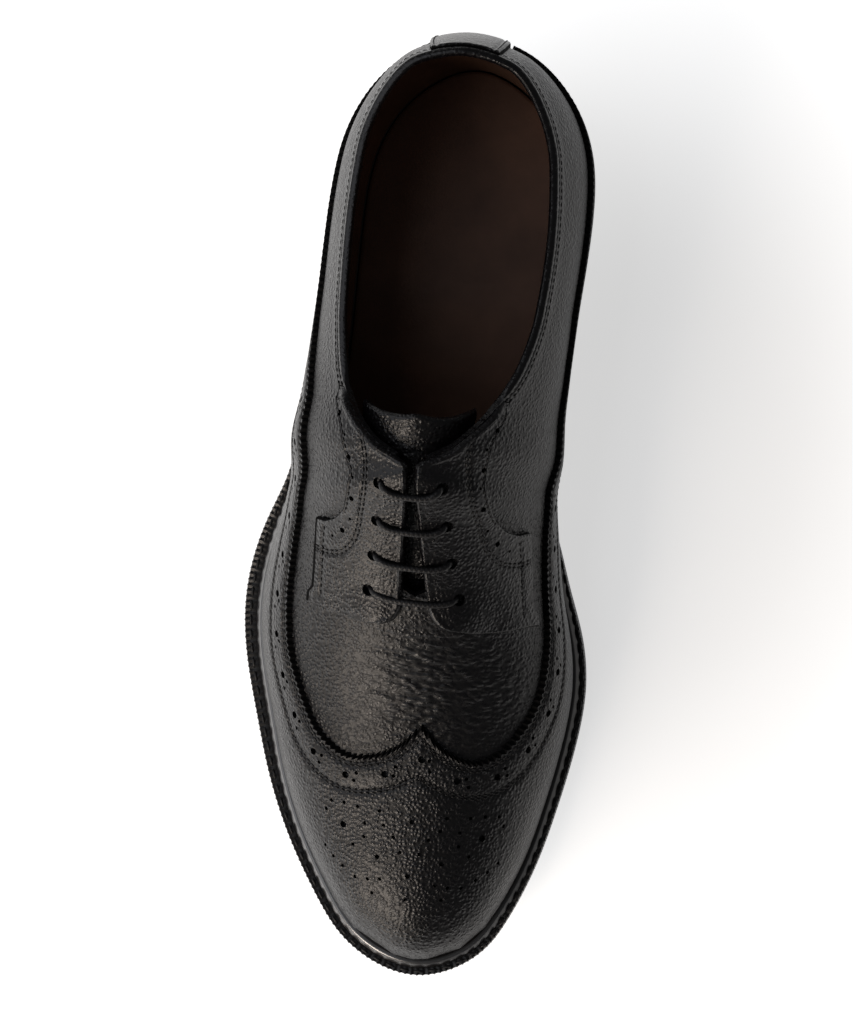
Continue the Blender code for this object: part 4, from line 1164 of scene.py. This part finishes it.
# Facings. Two overlays that carry the eyelets, laid on top of the vamp as on any derby. Each hooks out at
# the back in a J with a row of holes, is sewn along the J, the side and the slit, and its front corner
# stays free and lifts. Half of the slit's width by station, then the depth of a facing below collar or
# ridge: section, lateral, medial
FACING_SLIT = [(130.0, 0.9), (140.0, 1.0), (150.0, 1.7), (165.0, 2.9), (181.0, 4.6)]
FACING_DEPTH = [
    (6.7, 3.6, 3.6), (7.0, 5.9, 5.9), (7.5, 8.5, 8.9), (8.0, 11.8, 13.0), (8.35, 15.5, 17.6),
    (8.7, 19.4, 22.6), (9.15, 21.5, 25.6), (9.45, 22.4, 27.2), (9.72, 23.8, 29.4), (9.86, 27.0, 33.4),
    (9.93, 33.0, 41.0), (10.0, 37.6, 46.8), (10.6, 37.0, 46.2), (11.3, 36.4, 44.6), (11.58, 36.4, 43.8),
    (11.74, 38.2, 45.4), (12.0, 38.4, 45.2),
]
RIDGE_LIMIT = 0.996
WING_CLEAR = 0.6
FACING_CORNER = 4.5
FRONT_PITCH = 15.0
FRONT_BEND = 5
# Slant of the front edge, in sections, by the share of the way up to the slit
FRONT_SLANT = [(0.0, -0.25), (0.15, -0.19), (0.36, -0.06), (0.6, 0.07), (0.78, 0.12), (1.0, 0.12)]
CORNER_LIFT = 2.4
CORNER_REACH = 15.0
CORNER_LINE = -8
SLIT_SEAM = 1.7
SLIT_SEAM_ENDS = (0.3, 0.45)
SEAM_GAP = 1.1
# Seams and holes of the lateral facing as section and distance from the ridge
J_SEAM = [
    (7.78, 1.6), (8.1, 4.8), (8.88, 14.4), (9.4, 15.7), (9.76, 16.9), (10.2, 18.1), (10.48, 20.2),
    (10.66, 25.0), (10.62, 30.6), (10.5, 35.4),
]
SIDE_SEAM = [(10.06, 31.8), (10.61, 31.7), (11.05, 31.3), (11.6, 31.4)]
J_HOLES = [
    (7.42, 6.4, 0.9), (7.94, 9.1, 0.5), (8.5, 15.6, 0.9), (9.03, 18.8, 0.5), (9.47, 19.5, 0.9),
    (9.94, 20.2, 0.5), (10.2, 23.2, 0.9), (10.31, 27.4, 0.5),
]
# Curl of the hook, in sections, by the distance from the ridge; it fades out along the shoe
HOOK = [(20.0, 0.0), (24.0, 0.03), (27.5, 0.08), (31.0, 0.07), (34.0, -0.01), (37.6, -0.12)]
HOOK_ROW = (9.97, 0.3)
EDGE_SEAM = 1.4
EDGE_SEAM_START = 0.2
EDGE_SEAM_END = 9.75
# Lines of the mesh near an edge, in shares of that edge's width: by section along the side, and along the
# slit
EDGE_STEPS = np.array([0.0, 0.15, 0.35, 0.6, 0.85, 1.15, 1.45])
# Width of the dark band along a facing's low edge by section, edge ink and painted shade; then its lines
INK_AND_PAINTED_SHADE = [(6.7, 0.45), (9.8, 0.45), (10.05, 1.3), (12.0, 1.3)]
INK_AND_PAINTED_SHADE_LINES = 5
SLIT_EDGE = 0.6
MIDDLE_STEPS = 50
# Back end pared thin: share of the thickness, and how many sections it takes to reach the whole
SKIVE = (0.15, 0.45)
# Lip along the slit: height, distance from the edge, half width
LIP = (0.45, 0.9, 0.6)
FACING_CALM = 0.45
LACE_RADIUS = 1.0
# Bars of the lace: station of the ridge, and distance of both eyelets from it
LACE_BARS = [(139.0, 9.4), (149.5, 10.6), (160.0, 12.0), (170.5, 13.8)]
EYELET = 1.9
EYELET_DEPTH = 9.0


def on_side(row, side):
    """Ring position of a section on the lateral side, 0, or the medial side, 1."""
    return row if side == 0 else 2 * ROWS - row


def on_facing(station, along, height):
    """Point over the throat at a station of the ridge, along mm from it (lateral side negative)."""
    p = on_side(row_at_station(station), along >= 0)
    return raised(np.atleast_1d(p), t_from_top(p, abs(along)), height)[0]


def facing_place(row, depth, side):
    """Ring positions and t on either facing of places given by section and distance from the ridge."""
    p = on_side(row, side)
    wider = by_side(FACING_DEPTH, p) / by_side(FACING_DEPTH, row)
    return p, t_from_top(p, depth * wider)


def traced(table, side):
    """Ring positions and t of a smooth line through places on either facing."""
    table = np.array(table)
    steps = np.linspace(0, len(table) - 1, 40 * len(table))
    order = np.arange(len(table))
    row, depth = (monotone(np.stack([order, table[:, k]], 1), steps) for k in (0, 1))
    return facing_place(row, depth, side)


first_row, last_row = FACING_DEPTH[0][0], FACING_DEPTH[-1][0]
facing_rows = np.unique(np.concatenate([
    np.linspace(first_row, 9.6, 90), np.linspace(9.6, 10.3, 50), np.linspace(10.3, 11.4, 40),
    last_row - 0.6 * (0.5 + 0.5 * np.cos(np.linspace(0, np.pi, 40)))]))


def t_across(p, low, high, trim):
    """t from one edge of a sheet to the other, close together near both, trim inside them."""
    fine, runs = wall_runs(p)
    grid = []
    for run, first, last, ink_and_shade in zip(runs, low, high, monotone(INK_AND_PAINTED_SHADE, row_of(p))):
        start, end = np.interp((first, last), fine, run)
        wide, slim = (min(share, (end - start) / 6) for share in (ink_and_shade, SLIT_EDGE))
        start, end = start + trim * wide, end - trim * slim
        low_steps, high_steps = start + EDGE_STEPS * wide, end - EDGE_STEPS[::-1] * slim
        middle_steps = np.linspace(low_steps[-1], high_steps[0], MIDDLE_STEPS)[1:-1]
        grid.append(np.interp(np.concatenate([low_steps, middle_steps, high_steps]), run, fine))
    return np.array(grid)


from_front = (last_row - facing_rows) * FRONT_PITCH
round_off = FACING_CORNER - np.sqrt(FACING_CORNER**2 - np.clip(FACING_CORNER - from_front, 0, None) ** 2)
reach = (facing_rows - first_row) / (last_row - first_row)
near_front = reach**FRONT_BEND
for side, name in ((0, "facing_lateral"), (1, "facing_medial")):
    line_p = on_side(facing_rows, side)
    high = np.minimum(t_at_slit(line_p, FACING_SLIT, round_off), RIDGE_LIMIT)
    low = t_from_top(line_p, by_side(FACING_DEPTH, line_p))
    low = np.maximum(low, t_from_welt(line_p, by_side(WING_WIDTH, line_p) + WING_CLEAR))
    faces = []
    for trim in (BEVEL, 0.0):
        t = t_across(line_p, low, high, trim)
        share = (t - low[:, None]) / (high - low)[:, None]
        slant = near_front[:, None] * monotone(FRONT_SLANT, share)
        slant += (trim / FRONT_PITCH * (1 - 2 * reach))[:, None]
        fine, runs = wall_runs(line_p)
        depth = np.array([run[-1] - np.interp(one, fine, run) for one, run in zip(t, runs)])
        depth *= (by_side(FACING_DEPTH, facing_rows) / by_side(FACING_DEPTH, line_p))[:, None]
        slant += groove(facing_rows, *HOOK_ROW)[:, None] * monotone(HOOK, depth)
        faces.append((line_p[:, None] + (slant if side == 0 else -slant), t))
    (p, t), under = faces
    ground = last_point(p, t)
    inside = distance_to(border(ground), ground)
    lip, lip_at, lip_width = LIP
    from_slit = distance_to(border(ground[:, -2:]), ground)
    heights = sheet_height(inside) + lip * groove(from_slit, lip_at, lip_width)
    edge_p = line_p[(facing_rows > first_row + EDGE_SEAM_START) & (facing_rows < EDGE_SEAM_END)]
    edge_low = t_from_top(edge_p, by_side(FACING_DEPTH, edge_p))
    edge_t = t_below(edge_p, edge_low, -EDGE_SEAM)[:, 0]
    sewn_rows = (facing_rows > first_row + SLIT_SEAM_ENDS[0]) & (facing_rows < last_row - SLIT_SEAM_ENDS[1])
    slit_t = t_below(line_p, high, SLIT_SEAM)[:, 0]
    seams = []
    for (seam_p, seam_t), rows_of_stitches in (
        ((edge_p, edge_t), 1), (traced(J_SEAM, side), 2), (traced(SIDE_SEAM, side), 1),
        ((line_p[sewn_rows], slit_t[sewn_rows]), 1),
    ):
        first_line, up = last_point(seam_p, seam_t), last_normal(seam_p, seam_t)
        aside = np.cross(up, np.gradient(first_line, axis=0))
        aside *= SEAM_GAP / np.linalg.norm(aside, axis=1, keepdims=True)
        for number in range(rows_of_stitches):
            line = first_line + number * aside
            heights -= GROOVE * groove(distance_to(line, ground))
            seams.append((line + up * (SHEET - STITCH_SINK), up, STITCH_PITCH))
    corner = ground[-1, CORNER_LINE]
    lift = CORNER_LIFT * ease(1 - np.linalg.norm(ground - corner, axis=-1) / CORNER_REACH)
    skived = SKIVE[0] + (1 - SKIVE[0]) * ease((facing_rows - first_row) / SKIVE[1])[:, None]
    outer = raised(p, t, heights * skived + lift)
    inner = raised(*under, UNDER + lift)
    # Only the lateral facing is painted dark along its front edge and in a band along its side, edge ink and
    # painted shade; the medial facing keeps the leather there
    paints = [0, 1, 1, 1 - side, 1, 0, 1 - side]
    facing = add_piece(name + "_panel", shell(outer, inner, INK_AND_PAINTED_SHADE_LINES), [leather, cut_edge_and_painted_shade], paints)
    hole_rows, hole_depths, hole_radii = np.array(J_HOLES).T
    hole_p, hole_t = facing_place(hole_rows, hole_depths, side)
    holes = raised(hole_p, hole_t, PUNCH_HEIGHT)
    punch(facing, holes, last_normal(hole_p, hole_t), hole_radii, PUNCH_DEPTH)
    way = -1 if side == 0 else 1
    eyelets, eyelet_tops = (
        np.array([on_facing(station, way * half, height) for station, half in LACE_BARS])
        for height in (0.0, 1.0)
    )
    punch(facing, eyelets, eyelet_tops - eyelets, np.full(len(eyelets), EYELET), EYELET_DEPTH)
    paint(facing, "calm", np.full(len(facing.data.vertices), FACING_CALM))
    fit(facing, "grained_leather", name)
    sew(name + "_stitching", seams, STITCH)

# Tongue. A soft flap of the same calf that lies under the facings and is held at the front end of the slit.
# Its top is free, and the cut edge there dips in the middle.
TONGUE = 2.0
TONGUE_WIDTH = [(117.5, 18.0), (128.0, 19.0), (141.0, 21.0), (160.0, 21.0), (188.0, 15.0)]
TONGUE_TURN = 141.0
TONGUE_DIP = 7.0
TONGUE_SPREAD = 0.28
TONGUE_RISE = 0.42
TONGUE_CURL = 0.26
TONGUE_CALM = 0.4
TONGUE_COLUMNS = 36
# Rounding of the top edge: height and length
TONGUE_EDGE = (0.7, 1.2)
# Ripples across the free end: height and pitch, waver and its length
RIPPLE = (0.16, 2.7)
WAVER = (0.12, 5)
tongue_stations = np.concatenate([[117.5, 117.8, 118.3], np.linspace(119, 188, 60)])
tongue_shares = np.sin(np.linspace(-0.5, 0.5, TONGUE_COLUMNS) * np.pi)
along = monotone(TONGUE_WIDTH, tongue_stations)[:, None] * tongue_shares
free = np.clip((TONGUE_TURN - tongue_stations) / (TONGUE_TURN - tongue_stations[0]), 0, 1)
stations = tongue_stations[:, None] + TONGUE_DIP * (1 - tongue_shares**2) * free[:, None]
turn = np.maximum(stations, TONGUE_TURN)
p = row_at_station(turn)
p = np.where(along < 0, p, 2 * ROWS - p)
t = t_from_top(p.ravel(), np.abs(along).ravel()).reshape(p.shape)
back = turn - stations
tongue_top = WALL + 4 * GAP + 2 * LACE_RADIUS
from_edge = np.clip((tongue_stations - tongue_stations[0]) / TONGUE_EDGE[1], 0, 1)
edge_round = TONGUE_EDGE[0] * (1 - np.sqrt(1 - (1 - from_edge) ** 2))[:, None]
waves = stations / RIPPLE[1] + WAVER[0] * np.sin(along / WAVER[1])
ripple = RIPPLE[0] * np.sin(2 * np.pi * waves) * ease(free[:, None] * 2)
faces = []
for depth in (tongue_top + edge_round - ripple, tongue_top + TONGUE - edge_round):
    face = raised(p, t, -depth)
    face[..., 0] += TONGUE_SPREAD * free[:, None] * (face[..., 0] - monotone(MIDDLE_LINE, turn))
    face[..., 1] += back
    face[..., 2] += back * (TONGUE_RISE - TONGUE_CURL * (along / TONGUE_WIDTH[0][1]) ** 2)
    faces.append(face)
tongue = add_piece("tongue_flap", shell(*faces), [leather])
paint(tongue, "calm", np.full(len(tongue.data.vertices), TONGUE_CALM))
fit(tongue, "grained_leather", "tongue")

# Lace. One thin round cord of braided and waxed cotton in four bars, which dive through the eyelets. The runs
# between the bars and both ends stay hidden under the facings.
BAR_SAG = 4.2
BAR_SHARES = (0.82, 0.5, 0.0, -0.5, -0.82)
IN_EYELET = 0.4
RETURN_RUN = 4.0
LACE_SIDES = 12
PRESS = 0.1
# Keeps the middle of a bar on the lateral side of the ridge
JUST_LATERAL = 1e-3
# The route's corners are cut this often, each time by this share of its legs
ROUNDINGS = 3
CORNER_CUT = 0.25
above = SHEET + LACE_RADIUS - PRESS
below = -(WALL + 3 * GAP + LACE_RADIUS)
route = []
for number, (station, half) in enumerate(LACE_BARS):
    way = -1 if number % 2 == 0 else 1
    route += [on_facing(station, way * half, height) for height in (below, IN_EYELET)]
    for share in BAR_SHARES:
        sag = BAR_SAG * (1 - share * share)
        route.append(on_facing(station + sag, way * half * share - JUST_LATERAL, above))
    route += [on_facing(station, -way * half, height) for height in (IN_EYELET, below)]
for station, half in LACE_BARS[::-1]:
    route.append(on_facing(station, -half - RETURN_RUN, below))
route = np.array(route)
for _ in range(ROUNDINGS):
    ahead = route[:-1] * (1 - CORNER_CUT) + route[1:] * CORNER_CUT
    behind = route[:-1] * CORNER_CUT + route[1:] * (1 - CORNER_CUT)
    route = np.concatenate([route[:1], np.stack([ahead, behind], 1).reshape(-1, 3)[1:-1], route[-1:]])


def tube(path, radius, count):
    """Round tube along a path, with the distance along it and the turn round it as its own coordinates."""
    ways = np.gradient(path, axis=0)
    ways /= np.linalg.norm(ways, axis=1, keepdims=True)
    side = np.cross(ways[0], (0.0, 0.0, 1.0))
    if np.linalg.norm(side) < 0.1:
        side = np.cross(ways[0], (0.0, 1.0, 0.0))
    turns = np.linspace(0, 2 * np.pi, count + 1)
    turns[-1] = 0.0
    rings = []
    for point, way, far in zip(path, ways, arc_lengths(path)):
        side = side - way * (side @ way)
        side /= np.linalg.norm(side)
        other = np.cross(way, side)
        ring_points = point + radius * (np.cos(turns)[:, None] * side + np.sin(turns)[:, None] * other)
        around_share = np.arange(count + 1) / count
        rings.append(np.column_stack([ring_points, np.full(count + 1, far), around_share]))
    ends = []
    for ring_points, point in ((rings[0], path[0]), (rings[-1], path[-1])):
        tip = ring_points.copy()
        tip[:, :3] = point
        ends.append(np.stack([ring_points, tip]))
    return [np.stack(rings), *ends]


# Waxed cotton cord: black, braided on the slant, with a dull shine on each strand
cord, tree, shader, place = new_material("waxed cotton cord")
BRAID = 1.4
STRANDS = 6
surface = add_node(tree, "ShaderNodeUVMap", {}, uv_map="surface").outputs[0]
split = add_node(tree, "ShaderNodeSeparateXYZ", {0: surface})
waves = []
for slant in (1.0, -1.0):
    lengthwise = add_node(tree, "ShaderNodeMath", {0: split.outputs[0], 1: 2 * math.pi / BRAID},
                          operation="MULTIPLY")
    turned = {0: split.outputs[1], 1: slant * STRANDS * math.pi, 2: lengthwise.outputs[0]}
    phase = add_node(tree, "ShaderNodeMath", turned, operation="MULTIPLY_ADD")
    waves.append(add_node(tree, "ShaderNodeMath", {0: phase.outputs[0]}, operation="SINE").outputs[0])
strands = add_node(tree, "ShaderNodeMath", {0: waves[0], 1: waves[1]}, operation="MAXIMUM")
bump = add_node(tree, "ShaderNodeBump", {
    "Height": strands.outputs[0], "Strength": 0.35, "Distance": 0.12 * MM})
gloss = add_node(tree, "ShaderNodeMapRange", {0: strands.outputs[0], 1: -1.0, 3: 0.6, 4: 0.36})
add_node(tree, shader, {
    "Base Color": linear("#141315"), "Roughness": gloss.outputs[0], "Normal": bump.outputs[0]})
lace = add_piece("lace_cord", tube(route, LACE_RADIUS, LACE_SIDES), [cord])
fit(lace, "waxed_cord", "lace")

# Floor, light and camera. A sheet of matt white paper under the shoe that glows by itself, with a painted
# shadow, a window-like light in front on the lateral side, a wide weaker panel over that side, and a camera
# above the instep looking almost straight down.
FLOOR_SIZE = 40.0
CAMERA = Vector((0.0495, 0.008, 0.800))
AIM = Vector((0.001, 0.0, 0.03))
ROLL = math.radians(5.52)
LENS = 86.4
SENSOR = 36.0

# Matt white paper that glows by itself: painted light, which also lights the shoe from below. The camera sees
# a painted soft shadow in the glow beside the medial side, and the glow that lights the shoe is turned down
# on that side, painted darkness that stands in for a dark card
GLOW = 0.95
# Painted shadow in the glow that only the camera sees: its glow, middle, size and fade
PAINTED_SHADOW_GLOW = 0.6
PAINTED_SHADOW_SPOT = (0.07, 0.02, 0.0)
PAINTED_SHADOW_SIZE = (0.13, 0.19, 1.0)
PAINTED_SHADOW_FADE = (0.25, 1.1)
# Painted darkness on the medial side in the glow that lights the shoe: its glow and fade across
PAINTED_DARK_SIDE_GLOW = 0.35
PAINTED_DARK_SIDE_FADE = (-0.03, 0.09)
paper, tree, shader, place = new_material("matt white paper")
fibres = add_node(tree, "ShaderNodeTexNoise", {"Vector": place, "Scale": 1 / (30 * MM), "Detail": 4.0})
tone = add_node(tree, "ShaderNodeMix", {0: fibres.outputs[0], 6: linear("#F1F0EE"), 7: linear("#F8F7F5")},
                data_type="RGBA")
beside = add_node(tree, "ShaderNodeMapping", {"Vector": place, "Location": PAINTED_SHADOW_SPOT, "Scale": PAINTED_SHADOW_SIZE},
                  vector_type="TEXTURE")
painted_shadow_reach = add_node(tree, "ShaderNodeVectorMath", {0: beside.outputs[0]}, operation="LENGTH")
across = add_node(tree, "ShaderNodeSeparateXYZ", {0: place})
seen, cast = (
    add_node(tree, "ShaderNodeMapRange", {0: far, 1: fade[0], 2: fade[1], 3: first, 4: last},
             interpolation_type="SMOOTHSTEP")
    for far, fade, first, last in (
        (painted_shadow_reach.outputs["Value"], PAINTED_SHADOW_FADE, PAINTED_SHADOW_GLOW, GLOW),
        (across.outputs[0], PAINTED_DARK_SIDE_FADE, GLOW, PAINTED_DARK_SIDE_GLOW),
    )
)
# Camera rays get the painted shadow, all other rays the glow turned down on the medial side
ray = add_node(tree, "ShaderNodeLightPath", {})
glow = add_node(tree, "ShaderNodeMix", {
    0: ray.outputs["Is Camera Ray"], 2: cast.outputs[0], 3: seen.outputs[0]})
add_node(tree, shader, {"Base Color": tone.outputs[2], "Roughness": 0.9, "Specular IOR Level": 0.2,
                        "Emission Color": linear("#FFFFFF"), "Emission Strength": glow.outputs[0]})
floor_mesh = bpy.data.meshes.new("floor")
half = FLOOR_SIZE / 2
corners = [(-half, -half, 0), (half, -half, 0), (half, half, 0), (-half, half, 0)]
floor_mesh.from_pydata(corners, [], [(0, 1, 2, 3)])
floor_mesh.materials.append(paper)
floor = bpy.data.objects.new("floor", floor_mesh)
bpy.context.scene.collection.objects.link(floor)


def facing_to(place, aim, up):
    """Matrix of something at a place that looks at aim."""
    ahead = (aim - place).normalized()
    right = ahead.cross(up).normalized()
    above = right.cross(ahead)
    return Matrix.Translation(place) @ Matrix((right, above, -ahead)).transposed().to_4x4()


ROOM_GLOW = 0.07
LIT = Vector((0, 0, 0.03))
# Each light: place, width, height, power in watts, colour
LIGHTS = {
    "window": ((-0.69, -1.01, 0.68), 0.64, 0.5, 8.0, "#FFF1E3"),
    "sky panel": ((-1.0, 0.1, 1.25), 1.7, 1.5, 5.6, "#F6F8FF"),
}
for name, (place, width, height, power, colour) in LIGHTS.items():
    light = bpy.data.lights.new(name, "AREA")
    light.shape = "RECTANGLE"
    light.size, light.size_y, light.energy = width, height, power
    light.color = linear(colour)[:3]
    lamp = bpy.data.objects.new(name, light)
    lamp.matrix_world = facing_to(Vector(place), LIT, Vector((0, 1, 0)))
    bpy.context.scene.collection.objects.link(lamp)

world = bpy.data.worlds.new("studio")
world.use_nodes = True
background = world.node_tree.nodes["Background"]
add_node(world.node_tree, background, {"Color": linear("#F2F3F5"), "Strength": ROOM_GLOW})
bpy.context.scene.world = world
bpy.context.scene.view_settings.view_transform = "Standard"

lens = bpy.data.cameras.new("camera")
lens.lens = LENS
lens.sensor_width = SENSOR
camera = bpy.data.objects.new("camera", lens)
camera.matrix_world = facing_to(CAMERA, AIM, Vector((-math.sin(ROLL), math.cos(ROLL), 0.0)))
bpy.context.scene.collection.objects.link(camera)
bpy.context.scene.camera = camera
